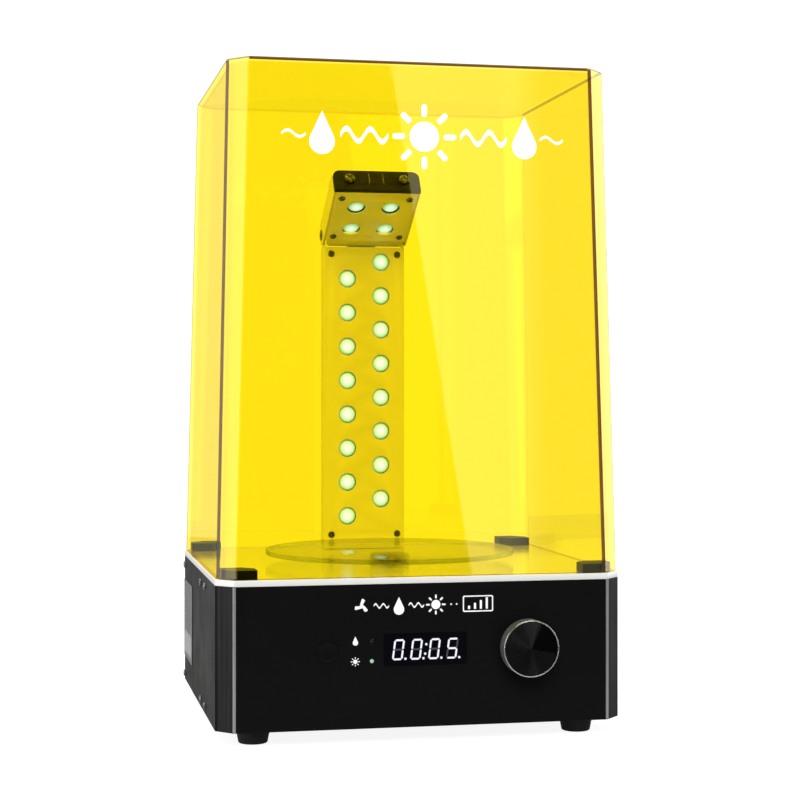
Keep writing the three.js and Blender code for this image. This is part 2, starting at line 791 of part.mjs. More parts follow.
const HARNESS_Y = COLUMN_FRONT + 10.5;
const HARNESS_HOLE = 5;

/** The lamp lead from the main board, up through the deck and behind the column's boards. */
function lampHarness() {
  const x = 0;
  return cable(
    [
      [-33, 208, 31.2],
      [-33, 210, 45],
      [-20, 225, 70],
      [x, HARNESS_Y, 95],
      [x, HARNESS_Y, DECK_TOP + 20],
      [x, HARNESS_Y, DECK_TOP + 130],
      [x, HARNESS_Y, DECK_TOP + 244],
    ],
    2.2,
    22,
  );
}

function coverSensor() {
  const board = block([112, 130], [26, 44], [BODY_TOP - GAP - BOARD, BODY_TOP - GAP]);
  const chip = block([118, 124], [31, 39], [BODY_TOP - GAP - BOARD - 4, BODY_TOP - GAP - BOARD + 0.1]);
  return join(board, chip);
}

// ---------------------------------------------------------------- turntable drive

const BEARING = { barrel: 8, flange: 12, flangeDepth: 2, bore: DRIVE_SHAFT_RADIUS + GAP };
const GEARBOX = { radius: 19, low: BODY_BOTTOM + 31, high: BODY_BOTTOM + 55 };
const MOTOR = { radius: 16, low: BODY_BOTTOM + 4 };
const BRACKET = { half: 45, depth: 25, sheet: 2, hole: 12 };
const COUPLING = { radius: 10, low: BODY_BOTTOM + 60, high: BODY_BOTTOM + 83 };

/** A flanged bush: the barrel fills the deck's hole and the flange lies under the deck. */
function deckBearing() {
  const flangeTop = BODY_TOP - GAP;
  return turned(
    [
      [BEARING.bore, flangeTop - BEARING.flangeDepth],
      [BEARING.flange, flangeTop - BEARING.flangeDepth],
      [BEARING.flange, flangeTop],
      [BEARING.barrel, flangeTop],
      [BEARING.barrel, DECK_TOP - GAP],
      [BEARING.bore, DECK_TOP - GAP],
      [BEARING.bore, flangeTop - BEARING.flangeDepth],
    ],
  );
}

function driveMotor() {
  return barAlongZ(MOTOR.radius, [MOTOR.low, GEARBOX.low - GAP], 0, 0);
}

function gearbox() {
  const body = barAlongZ(GEARBOX.radius, [GEARBOX.low, GEARBOX.high], 0, 0);
  const bore = barAlongZ(OUTPUT_SHAFT_RADIUS + GAP, [GEARBOX.high - 8, GEARBOX.high + OVERRUN], 0, 0);
  return cut(body, bore);
}

/** The motor's bridge: a top plate that the gearbox hangs from, two legs and two feet. */
function motorBracket() {
  const low = BODY_BOTTOM + SHEET + GAP;
  const high = GEARBOX.high + GAP + BRACKET.sheet;
  const depth = [-BRACKET.depth, BRACKET.depth];
  const top = block([-BRACKET.half, BRACKET.half], depth, [high - BRACKET.sheet, high]);
  const legs = [-1, 1].map((side) => {
    const outer = side * BRACKET.half;
    const inner = side * (BRACKET.half - BRACKET.sheet);
    return block([Math.min(outer, inner), Math.max(outer, inner)], depth, [low, high]);
  });
  const feet = [-1, 1].map((side) => {
    const ends = [side * (BRACKET.half - 0.1), side * (BRACKET.half + 10)].sort((a, b) => a - b);
    return block(ends, depth, [low, low + BRACKET.sheet]);
  });
  return cut(join(top, ...legs, ...feet), barAlongZ(BRACKET.hole, [high - 5, high + OVERRUN], 0, 0));
}

function outputShaft() {
  return barAlongZ(OUTPUT_SHAFT_RADIUS, [GEARBOX.high - 7, COUPLING.low + 10], 0, 0);
}

/** A rigid coupling: the output shaft enters from below and the drive shaft from above. */
function shaftCoupling() {
  const lowBore = OUTPUT_SHAFT_RADIUS + GAP;
  const highBore = DRIVE_SHAFT_RADIUS + GAP;
  return turned([
    [lowBore, COUPLING.low],
    [COUPLING.radius, COUPLING.low],
    [COUPLING.radius, COUPLING.high],
    [highBore, COUPLING.high],
    [highBore, COUPLING.low + 12],
    [0, COUPLING.low + 12],
    [0, COUPLING.low + 10.4],
    [lowBore, COUPLING.low + 10.4],
    [lowBore, COUPLING.low],
  ]);
}

/** The drive shaft, whose hexagonal head carries the turntable. */
function driveShaft() {
  const round = barAlongZ(DRIVE_SHAFT_RADIUS, [COUPLING.low + 12.4, DECK_TOP + 0.7], 0, 0);
  return join(round, hexBar(HEX_ACROSS, [DECK_TOP + 0.5, DECK_TOP + HEX_TOP]));
}

// ---------------------------------------------------------------- turntable

function turntableDisc() {
  const low = DECK_TOP + DISC_HEIGHT;
  const high = low + DISC_THICKNESS;
  return turned(
    [
      [0, low],
      [DISC_RADIUS - 0.5, low],
      [DISC_RADIUS, low + 0.5],
      [DISC_RADIUS, high - 0.5],
      [DISC_RADIUS - 0.5, high],
      [0, high],
    ],
    0,
    0,
    64,
  );
}

/** The hub under the disc, with a hexagonal socket for the drive shaft. */
function turntableHub() {
  const low = DECK_TOP + HUB_FOOT;
  const body = barAlongZ(HUB_RADIUS, [low, DECK_TOP + DISC_HEIGHT - GAP], 0, 0, 24);
  const socket = hexBar(HEX_ACROSS + 2 * GAP, [low - OVERRUN, DECK_TOP + HEX_TOP + GAP]);
  return cut(body, socket);
}

// ---------------------------------------------------------------- LED column

/** The lamp places on the column's face, in two staggered rows. */
function columnLamps() {
  const places = [];
  for (let row = 0; row < LENS_ROWS; row += 1) {
    const height = TOP_LENS_HEIGHT - row * LENS_PITCH;
    places.push([LENS_X, height], [-LENS_X, height - LENS_PITCH / 2]);
  }
  return places;
}

const COLUMN_SCREWS = PLATE_SCREW_HEIGHTS.flatMap((z) => [[-CORNER_SCREW_X, z], [CORNER_SCREW_X, z]]);

function columnPlate() {
  const half = COLUMN_WIDTH / 2;
  const plate = block([-half, half], [0, THIN_SHEET], [GAP, COLUMN_PLATE_TOP]);
  const through = [-OVERRUN, THIN_SHEET + OVERRUN];
  return cut(
    plate,
    ...columnLamps().map(([x, z]) => barAlongY(LENS_HOLE_RADIUS, through, x, z, 12)),
    ...COLUMN_SCREWS.map(([x, z]) => barAlongY(SMALL_SCREW[2] + SHANK_HOLE, through, x, z, 8)),
  );
}

/** The folded channel behind the plate, with a foot on the deck and two ears for the hinge. */
function columnChannel() {
  const half = COLUMN_WIDTH / 2;
  const front = THIN_SHEET + GAP;
  const wall = block([-half, half], [front, COLUMN_DEPTH], [GAP, COLUMN_WALL_TOP]);
  const room = block(
    [-half + THIN_SHEET, half - THIN_SHEET],
    [front - OVERRUN, COLUMN_DEPTH - THIN_SHEET],
    [GAP + THIN_SHEET, COLUMN_WALL_TOP + OVERRUN],
  );
  const leadHole = barAlongZ(HARNESS_HOLE, [-OVERRUN, 3], 0, HARNESS_Y - COLUMN_FRONT, 16);
  const ears = [-1, 1].map((side) => {
    const ends = [side * (half - THIN_SHEET), side * half].sort((a, b) => a - b);
    const depth = [front, HINGE_BACK + HINGE_EAR_RADIUS];
    const post = block(ends, depth, [COLUMN_WALL_TOP - 1, HINGE_HEIGHT]);
    const knuckle = barAlongX(HINGE_EAR_RADIUS, ends, HINGE_BACK, HINGE_HEIGHT, 16);
    return join(post, knuckle);
  });
  const across = [-half - OVERRUN, half + OVERRUN];
  const pinHole = barAlongX(HINGE_PIN_RADIUS + GAP, across, HINGE_BACK, HINGE_HEIGHT);
  return cut(join(cut(wall, room), ...ears), leadHole, pinHole);
}

/** A domed lamp lens that stands on z = 0 and points up. */
function lens() {
  return turned(
    [
      [0, 0],
      [LENS_RADIUS, 0],
      [LENS_RADIUS, 1.2],
      [0.65 * LENS_RADIUS, 0.86 * LENS_HEIGHT],
      [0, LENS_HEIGHT],
    ],
    0,
    0,
    10,
  );
}

const LENS_TIP = 0.4; // how far a lens stays behind the face of its plate
const LENS_STRIP = 0.8; // the clear strip that carries the lenses

/** The column's lenses, moulded on one clear strip that lies on the board. */
function columnLenses() {
  const back = LENS_TIP + LENS_HEIGHT;
  const strip = block([-23, 23], [back - 0.1, back + LENS_STRIP], [20, 244]);
  const domes = columnLamps().map(([x, z]) => lens().rotate([90, 0, 0]).translate([x, back, z]));
  return join(strip, ...domes);
}

function columnBoard() {
  const face = LENS_TIP + LENS_HEIGHT + LENS_STRIP + GAP;
  return block([-24, 24], [face, face + BOARD], [18, 246]);
}

/** A hinge bolt, with its head outside the lamp head and its washer inside the column. */
function hingeBolt(side) {
  const inside = COLUMN_WIDTH / 2 - THIN_SHEET - GAP;
  const outside = HEAD_WIDTH / 2 + GAP;
  const bar = (radius, from, to) =>
    barAlongX(radius, [side * from, side * to].sort((a, b) => a - b), HINGE_BACK, HINGE_HEIGHT);
  return join(
    bar(HINGE_PIN_RADIUS, inside - 1, outside + 1),
    bar(HINGE_PIN_RADIUS + 2.4, inside - 2.4, inside),
    bar(HINGE_PIN_RADIUS + 1.6, outside, outside + 1.8),
  );
}

// ---------------------------------------------------------------- lamp head

const HEAD_LAMPS = HEAD_LENS_REACH.flatMap((reach) => [[-LENS_X, reach], [LENS_X, reach]]);
const HEAD_SCREWS = HEAD_SCREW_REACH.flatMap((reach) => [[-CORNER_SCREW_X, reach], [CORNER_SCREW_X, reach]]);

/** The folded shell: a top and two flanges that run back round the hinge bolts. */
function headShell() {
  const half = HEAD_WIDTH / 2;
  const forward = [-HEAD_LENGTH + GAP, 0];
  const top = block([-half, half], [forward[0], 2], [HEAD_TOP - THIN_SHEET, HEAD_TOP]);
  const flanges = [-1, 1].map((side) => {
    const ends = [side * (half - THIN_SHEET), side * half].sort((a, b) => a - b);
    return join(
      block(ends, forward, [HEAD_BOTTOM, HEAD_TOP]),
      barAlongX(HEAD_FLANGE_RADIUS, ends, 0, 0, 20),
    );
  });
  const pinHole = barAlongX(HINGE_PIN_RADIUS + GAP, [-half - OVERRUN, half + OVERRUN], 0, 0);
  return cut(join(top, ...flanges), pinHole);
}

const HEAD_TAB = { x: [-13.8, 9.8], reach: 5 };
const EAR_NOTCH_DEPTH = 4.6; // in front of the hinge axis, clear of the column's ears when level

/** The lamp plate under the head, with a tab at the hinge edge and notches round the column's ears. */
function headPlate() {
  const half = HEAD_WIDTH / 2 - THIN_SHEET - GAP;
  const thickness = [HEAD_BOTTOM, HEAD_BOTTOM + THIN_SHEET];
  const plate = block([-half, half], [-HEAD_LENGTH + GAP, 1], thickness);
  const tab = block(HEAD_TAB.x, [0.5, HEAD_TAB.reach], thickness);
  const through = [HEAD_BOTTOM - OVERRUN, HEAD_BOTTOM + THIN_SHEET + OVERRUN];
  const notches = [-1, 1].map((side) => {
    const ends = [side * (COLUMN_WIDTH / 2 - THIN_SHEET - 2 * GAP), side * (half + OVERRUN)];
    return block(ends.sort((a, b) => a - b), [-EAR_NOTCH_DEPTH, 1 + OVERRUN], through);
  });
  return cut(
    join(plate, tab),
    ...notches,
    ...HEAD_LAMPS.map(([x, reach]) => barAlongZ(LENS_HOLE_RADIUS, through, x, -reach, 12)),
    ...HEAD_SCREWS.map(([x, reach]) => barAlongZ(SMALL_SCREW[2] + SHANK_HOLE, through, x, -reach, 8)),
  );
}

function headLenses() {
  const top = HEAD_BOTTOM + LENS_TIP + LENS_HEIGHT;
  const strip = block([-23, 23], [-56, -12], [top - 0.1, top + LENS_STRIP]);
  const domes = HEAD_LAMPS.map(([x, reach]) => lens().rotate([180, 0, 0]).translate([x, -reach, top]));
  return join(strip, ...domes);
}

function headBoard() {
  const low = HEAD_BOTTOM + LENS_TIP + LENS_HEIGHT + LENS_STRIP + GAP;
  const board = block([-24, 24], [-58, -10], [low, low + BOARD]);
  const connector = block([-6, 6], [-18, -11], [low + BOARD - 0.1, low + BOARD + 5]);
  return join(board, connector);
}

/** The moulded cap on the head's free end, with rounded upper corners and three shallow grooves. */
function headEndCap() {
  const half = HEAD_WIDTH / 2;
  const r = END_CAP_CORNER;
  const outline = new THREE.Shape();
  outline.moveTo(-half, HEAD_BOTTOM);
  outline.lineTo(half, HEAD_BOTTOM);
  outline.lineTo(half, HEAD_TOP - r);
  outline.absarc(half - r, HEAD_TOP - r, r, 0, Math.PI / 2, false);
  outline.lineTo(-half + r, HEAD_TOP);
  outline.absarc(-half + r, HEAD_TOP - r, r, Math.PI / 2, Math.PI, false);
  const face = -HEAD_LENGTH - END_CAP_THICKNESS;
  const grooves = [-6, 0, 6].map((x) => block([x - 0.4, x + 0.4], [face - OVERRUN, face + 0.8], [-2, 9]));
  const through = [face - OVERRUN, -HEAD_LENGTH + OVERRUN];
  const holes = [-1, 1].map((side) =>
    barAlongY(LARGE_SCREW[2] + SHANK_HOLE, through, side * END_CAP_SCREW_X, 2, 8),
  );
  return cut(uprightPlate(outline, face, -HEAD_LENGTH), ...grooves, ...holes);
}

function endCapScrew(side) {
  const face = -HEAD_LENGTH - END_CAP_THICKNESS;
  return placedScrew(LARGE_SCREW, 'front', [side * END_CAP_SCREW_X, face, 2]);
}

// ---------------------------------------------------------------- cover

/** The transparent cover: tapered walls, cut corners, a rounded crown and an open bottom. */
function coverShell() {
  const z0 = DECK_TOP + GAP;
  const z1 = z0 + COVER_HEIGHT;
  const roundSteps = 2;
  const levels = [{ plan: COVER_FOOT, z: z0 }];
  for (let i = 0; i <= roundSteps; i += 1) {
    const angle = (Math.PI / 2) * (i / roundSteps);
    levels.push({
      plan: inset(COVER_CROWN, COVER_TOP_RADIUS * (1 - Math.cos(angle))),
      z: z1 - COVER_TOP_RADIUS * (1 - Math.sin(angle)),
    });
  }
  const hollow = loft([
    { plan: inset(COVER_FOOT, COVER_WALL), z: z0 - OVERRUN },
    { plan: inset(COVER_CROWN, COVER_WALL), z: z1 - COVER_WALL },
  ]);
  return cut(loft(levels), hollow);
}

// ---------------------------------------------------------------- assembly

const SIDES = [['left', -1], ['right', 1]];

addPiece('bottom_plate', powderCoat(), bottomPlate());
for (const [name, side] of SIDES) {
  addPiece(`foot_front_${name}`, rubber(), foot(side * FOOT_X, FOOT_FROM_FRONT));
  addPiece(`foot_rear_${name}`, rubber(), foot(side * FOOT_X, HOUSING.back - FOOT_FROM_REAR));
  addPiece(`side_panel_${name}`, powderCoat(), sidePanel(side));
  addPiece(`side_screw_${name}`, blackScrew(), sideScrew(side));
  addPiece(`corner_block_front_${name}`, blackPlastic(), cornerBlock(side, false));
  addPiece(`corner_block_rear_${name}`, blackPlastic(), cornerBlock(side, true));
}
addPiece('fascia_panel', blackGloss(), fascia());
addPiece('front_frame', satinSteel(), frontFrame());
addPiece('rear_panel', powderCoat(), rearPanel());
addPiece('top_deck', brightAluminium(), topDeck());
addPiece('rating_plate', greyLabel(), ratingPlate());
addPiece('cover_sensor', greenBoard(), coverSensor());

addPiece('power_inlet', blackPlastic(), powerInlet());
addPiece('switch_frame', blackPlastic(), switchFrame());
const rockerFrame = frameAt(SWITCH.x, ROCKER_PIVOT_Y, SWITCH.z);
rockerFrame.rotation.x = THREE.MathUtils.degToRad(-ROCKER_TILT);
addPiece('power_rocker', blackGloss(), rocker(), rockerFrame);

const knobFrame = frameAt(KNOB_X, 0, CONTROLS_Z);
addPiece('knob_body', blackGloss(), knobBody(), knobFrame);
addPiece('knob_ring', chrome(), knobRing(), knobFrame);
addPiece('encoder_shaft', satinSteel(), encoderShaft(), knobFrame);
addPiece('encoder_plunger', brass(), encoderPlunger(), knobFrame);
addPiece('encoder_body', satinSteel(), encoderBody());
addPiece('mode_button', blackGloss(), modeButton(), frameAt(BUTTON_X, 0, CONTROLS_Z));
addPiece('mode_switch', blackPlastic(), modeSwitch());
addPiece('indicator_guide', clearAcrylic(), indicatorGuide());
addPiece('display_module', blackGloss(), displayModule());
addPiece('front_board', greenBoard(), frontBoard());
addPiece('main_board', greenBoard(), mainBoard());
addPiece('board_tray', blackPlastic(), boardTray());
addPiece('panel_harness', wireCover(), panelHarness());
addPiece('lamp_harness', wireCover(), lampHarness());

const driveFrame = frameAt(0, TURNTABLE_Y, 0);
addPiece('deck_bearing', brass(), deckBearing(), driveFrame);
addPiece('drive_motor', satinSteel(), driveMotor(), driveFrame);
addPiece('motor_gearbox', satinSteel(), gearbox(), driveFrame);
addPiece('motor_bracket', satinSteel(), motorBracket(), driveFrame);
addPiece('gearbox_output_shaft', satinSteel(), outputShaft(), driveFrame);
addPiece('shaft_coupling', brightAluminium(), shaftCoupling(), driveFrame);
addPiece('drive_shaft', satinSteel(), driveShaft(), driveFrame);
addPiece('turntable_disc', clearAcrylic(), turntableDisc(), driveFrame);
addPiece('turntable_hub', clearAcrylic(), turntableHub(), driveFrame);

const columnFrame = frameAt(0, COLUMN_FRONT, DECK_TOP);
addPiece('column_channel', satinSteel(), columnChannel(), columnFrame);
addPiece('column_plate', satinSteel(), columnPlate(), columnFrame);
addPiece('column_led_board', whiteBoard(), columnBoard(), columnFrame);
addPiece('column_lenses', lampLens(), columnLenses(), columnFrame);
for (const [name, side] of SIDES) {
  addPiece(`hinge_bolt_${name}`, blackScrew(), hingeBolt(side), columnFrame);
}

const headFrame = frameAt(0, COLUMN_FRONT + HINGE_BACK, DECK_TOP + HINGE_HEIGHT);
headFrame.rotation.x = THREE.MathUtils.degToRad(-HEAD_REST_TILT);
addPiece('head_shell', satinSteel(), headShell(), headFrame);
addPiece('head_plate', satinSteel(), headPlate(), headFrame);
addPiece('head_led_board', whiteBoard(), headBoard(), headFrame);
addPiece('head_lenses', lampLens(), headLenses(), headFrame);
addPiece('head_end_cap', blackPlastic(), headEndCap(), headFrame);
for (const [name, side] of SIDES) {
  addPiece(`end_cap_screw_${name}`, blackScrew(), endCapScrew(side), headFrame);
}

addPiece('cover_shell', yellowAcrylic(), coverShell());

export default machine;
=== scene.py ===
"""A tabletop ultraviolet curing machine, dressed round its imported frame.

Shapes are drawn in millimetres and become metres when a piece is placed. The front faces -Y.
"""

import json
import math

import bmesh
import bpy
from mathutils import Matrix, Vector


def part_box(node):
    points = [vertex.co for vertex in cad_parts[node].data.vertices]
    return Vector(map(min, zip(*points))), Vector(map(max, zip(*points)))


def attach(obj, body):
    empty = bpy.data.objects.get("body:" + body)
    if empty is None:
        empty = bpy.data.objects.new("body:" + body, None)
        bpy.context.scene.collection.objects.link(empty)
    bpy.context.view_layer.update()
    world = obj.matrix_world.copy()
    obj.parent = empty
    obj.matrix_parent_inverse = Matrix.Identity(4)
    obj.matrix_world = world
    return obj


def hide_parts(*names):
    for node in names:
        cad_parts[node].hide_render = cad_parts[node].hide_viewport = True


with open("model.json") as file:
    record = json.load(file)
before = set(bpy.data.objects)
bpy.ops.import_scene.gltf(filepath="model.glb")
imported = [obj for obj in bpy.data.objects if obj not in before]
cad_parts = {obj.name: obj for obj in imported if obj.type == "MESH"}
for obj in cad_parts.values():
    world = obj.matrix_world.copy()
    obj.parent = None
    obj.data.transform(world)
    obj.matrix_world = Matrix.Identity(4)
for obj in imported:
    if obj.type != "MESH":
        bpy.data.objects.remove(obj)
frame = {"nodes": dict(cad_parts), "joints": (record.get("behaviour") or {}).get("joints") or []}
NODES = frame["nodes"]
JOINTS = {joint["name"]: joint for joint in frame["joints"]}
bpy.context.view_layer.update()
MM = 0.001
SIDES = (("left", -1), ("right", 1))


# ---- places


def low(node):
    """A CAD node's lowest corner, in millimetres."""
    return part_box(node)[0] / MM


def high(node):
    """A CAD node's highest corner, in millimetres."""
    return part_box(node)[1] / MM


def middle(node):
    """The middle of a CAD node's box, in millimetres."""
    return (low(node) + high(node)) / 2


def shift(x, y, z):
    return Matrix.Translation((x, y, z))


def turn(degrees, axis):
    return Matrix.Rotation(math.radians(degrees), 4, axis)


# A piece is drawn lying face up (+Z), with +Y as its top, and one of these turns it to its side.
FRONT = turn(90, "X")
BACK = turn(180, "Z") @ FRONT
LEFT = turn(-90, "Z") @ FRONT
RIGHT = turn(90, "Z") @ FRONT
DOWN = turn(180, "X")
FACES = {"left": LEFT, "right": RIGHT}

AS_DRAWN = Matrix.Identity(4)
FASCIA = shift(0, low("fascia_panel").y, 0) @ FRONT
REAR = shift(0, high("rear_panel").y, 0) @ BACK
DECK_TOP = high("top_deck").z
COLUMN = shift(0, low("column_plate").y, DECK_TOP) @ FRONT

HINGE = Vector(JOINTS["head_tilt"]["pos_m"]) / MM
HEAD_REST_TILT = JOINTS["head_tilt"]["range_deg"][0]
HEAD = shift(*HINGE) @ turn(HEAD_REST_TILT, "X")  # drawn level about the hinge, forward is -Y
HEAD_BOTTOM = -9
HEAD_TOP = 11
HEAD_UNDERSIDE = HEAD @ shift(0, 0, HEAD_BOTTOM) @ DOWN  # +Y is the reach from the hinge
HEAD_LENGTH = 68
CAP_THICKNESS = 3.7
HEAD_END = HEAD @ shift(0, -HEAD_LENGTH - CAP_THICKNESS, 0) @ FRONT

KNOB_AXIS = middle("knob_body")
KNOB = shift(KNOB_AXIS.x, low("knob_ring").y, KNOB_AXIS.z) @ FRONT  # z = 0 is the ring's face
BUTTON_AXIS = middle("mode_button")
CONTROLS_Z = KNOB_AXIS.z
INDICATOR_HIGH = high("indicator_guide").z - 1.5
INDICATOR_LOW = low("indicator_guide").z + 1.5
CORNER_CUT = (12.0, 12.6)  # what each corner of the housing and the cover loses in X and in Y


# ---- shapes


def rounded(points, closed=True, step=12):
    """An outline from (x, y, radius) corners, with each corner's radius turned into an arc."""
    outline = []
    for index, (x, y, radius) in enumerate(points):
        corner = Vector((x, y))
        at_end = not closed and index in (0, len(points) - 1)
        if radius == 0 or at_end:
            outline.append((x, y))
            continue
        before = (Vector(points[index - 1][:2]) - corner).normalized()
        after = (Vector(points[(index + 1) % len(points)][:2]) - corner).normalized()
        half = before.angle(after) / 2
        centre = corner + (before + after).normalized() * (radius / math.sin(half))
        first = corner + before * (radius / math.tan(half)) - centre
        last = corner + after * (radius / math.tan(half)) - centre
        start = math.atan2(first.y, first.x)
        sweep = math.remainder(math.atan2(last.y, last.x) - start, math.tau)
        count = max(2, math.ceil(math.degrees(abs(sweep)) / step))
        for k in range(count + 1):
            angle = start + sweep * k / count
            outline.append((centre.x + radius * math.cos(angle), centre.y + radius * math.sin(angle)))
    return outline


def circle(radius, x=0.0, y=0.0, steps=48):
    angles = [math.tau * k / steps for k in range(steps)]
    return [(x + radius * math.cos(a), y + radius * math.sin(a)) for a in angles]


def rectangle(width, height, x=0.0, y=0.0, radius=0.0):
    """A rectangle about (x, y), with rounded corners."""
    w, h = width / 2, height / 2
    corners = [(x - w, y - h), (x + w, y - h), (x + w, y + h), (x - w, y + h)]
    return rounded([(a, b, radius) for a, b in corners])


def moved(outline, x, y, angle=0.0, size=1.0):
    """An outline scaled, turned by degrees and moved."""
    c, s = math.cos(math.radians(angle)) * size, math.sin(math.radians(angle)) * size
    return [(x + c * a - s * b, y + s * a + c * b) for a, b in outline]


def cut_plan(half, front, back, cut_x, cut_y):
    """The corners of a plan with its four corners cut off, going round from the front's left end."""
    right = [(half - cut_x, front), (half, front + cut_y), (half, back - cut_y), (half - cut_x, back)]
    left = [(-x, y) for x, y in reversed(right)]
    return [Vector(p) for p in [left[-1], *right, *left[:-1]]]


def drawn_in(plan, distance):
    """A convex outline moved in by a distance on every side."""
    lines = []
    for here, there in zip(plan, plan[1:] + plan[:1]):
        along = (there - here).normalized()
        lines.append((here + Vector((-along.y, along.x)) * distance, along))
    result = []
    for (p, a), (q, b) in zip(lines[-1:] + lines[:-1], lines):
        across = a.x * b.y - a.y * b.x
        reach = ((q.x - p.x) * b.y - (q.y - p.y) * b.x) / across
        result.append(p + a * reach)
    return result


def from_bmesh(bm, merge=1e-4):
    """A mesh from a bmesh, with doubled points merged and its faces turned out."""
    bmesh.ops.remove_doubles(bm, verts=bm.verts, dist=merge)
    bmesh.ops.recalc_face_normals(bm, faces=bm.faces)
    mesh = bpy.data.meshes.new("shape")
    bm.to_mesh(mesh)
    bm.free()
    return mesh


def lathe(profile, steps=72, closed=False):
    """A solid turned about Z from (radius, height) points. An open profile runs from axis to axis."""
    bm = bmesh.new()
    rings = []
    for radius, height in profile:
        count = 1 if radius < 1e-6 else steps
        rings.append([bm.verts.new((a, b, height)) for a, b in circle(radius, steps=count)])
    following = rings[1:] + rings[:1] if closed else rings[1:]
    for ring, beyond in zip(rings, following):
        for k in range(steps):
            corners = [ring[k % len(ring)], ring[(k + 1) % len(ring)]]
            corners += [beyond[(k + 1) % len(beyond)], beyond[k % len(beyond)]]
            face = list(dict.fromkeys(corners))
            if len(face) > 2:
                bm.faces.new(face)
    return from_bmesh(bm)


def turned(profile, steps=72):
    """A solid turned about Z from an open profile of (radius, height, rounding) corners."""
    return lathe(rounded(profile, closed=False), steps)


def slab(outline, base, top, holes=(), bevel=0.0):
    """A plate from base to top with holes, its rims rounded by a bevel."""
    curve = bpy.data.curves.new("slab", "CURVE")
    curve.dimensions = "2D"
    curve.fill_mode = "BOTH"
    curve.extrude = (top - base) / 2 - bevel
    curve.bevel_depth = bevel
    curve.bevel_resolution = 2
    curve.offset = -bevel
    for ring in [outline, *[hole[::-1] for hole in holes]]:
        spline = curve.splines.new("POLY")
        spline.points.add(len(ring) - 1)
        spline.use_cyclic_u = True
        for point, (x, y) in zip(spline.points, ring):
            point.co = (x, y, 0, 1)
    holder = bpy.data.objects.new("slab", curve)
    mesh = bpy.data.meshes.new_from_object(holder)
    bpy.data.objects.remove(holder)
    bpy.data.curves.remove(curve)
    mesh.transform(shift(0, 0, (top + base) / 2))
    bm = bmesh.new()
    bm.from_mesh(mesh)
    return from_bmesh(bm)


def joined(meshes):
    """One mesh from several."""
    bm = bmesh.new()
    for mesh in meshes:
        bm.from_mesh(mesh)
    result = bpy.data.meshes.new("joined")
    bm.to_mesh(result)
    bm.free()
    return result


def copied(mesh, matrix):
    """A copy of a mesh, moved by a matrix."""
    copy = mesh.copy()
    copy.transform(matrix)
    return copy


def new_object(name, data):
    """An object in the scene, with a mesh, light or camera."""
    obj = bpy.data.objects.new(name, data)
    bpy.context.scene.collection.objects.link(obj)
    return obj


def carved(mesh, cutter):
    """A mesh with a cutter's shape taken out of it."""
    body, tool = new_object("body", mesh), new_object("tool", cutter)
    carve = body.modifiers.new("carve", "BOOLEAN")
    carve.object = tool
    carve.solver = "EXACT"
    bpy.context.view_layer.update()
    depsgraph = bpy.context.evaluated_depsgraph_get()
    result = bpy.data.meshes.new_from_object(body.evaluated_get(depsgraph))
    for obj in (body, tool):
        bpy.data.objects.remove(obj)
    return result


def place(name, mesh, matrix, body, slot, finish=None, replaces=(), smooth=32):
    """Turns a mesh drawn in millimetres into a piece that rides on a body, in its slot's own finish
    unless another, or a list of them, is given."""
    mesh.transform(Matrix.Scale(MM, 4) @ matrix)
    mesh.name = name
    for polygon in mesh.polygons:
        polygon.use_smooth = True
    mesh.set_sharp_from_angle(angle=math.radians(smooth))
    finish = finish or FINISHES[slot]
    for material in finish if isinstance(finish, list) else [finish]:
        mesh.materials.append(material)
    obj = new_object(name, mesh)
    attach(obj, body)
    if replaces:
        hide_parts(*replaces)
    return obj


def soften(obj, width, segments=2, angle=25):
    """Rounds a piece's sharp edges with modifiers."""
    weld = obj.modifiers.new("weld", "WELD")
    weld.merge_threshold = 1e-6
    bevel = obj.modifiers.new("bevel", "BEVEL")
    bevel.width = width * MM
    bevel.segments = segments
    bevel.limit_method = "ANGLE"
    bevel.angle_limit = math.radians(angle)
    bevel.miter_outer = "MITER_ARC"
    normals = obj.modifiers.new("normals", "WEIGHTED_NORMAL")
    normals.weight = 100


# ---- finishes


def add_node(tree, kind, inputs=None, **settings):
    """A new node in a tree, with plain values or other nodes' outputs on its inputs."""
    node = tree.nodes.new(kind)
    for setting, value in settings.items():
        setattr(node, setting, value)
    for socket, value in (inputs or {}).items():
        if isinstance(value, bpy.types.NodeSocket):
            tree.links.new(value, node.inputs[socket])
        else:
            node.inputs[socket].default_value = value
    return node


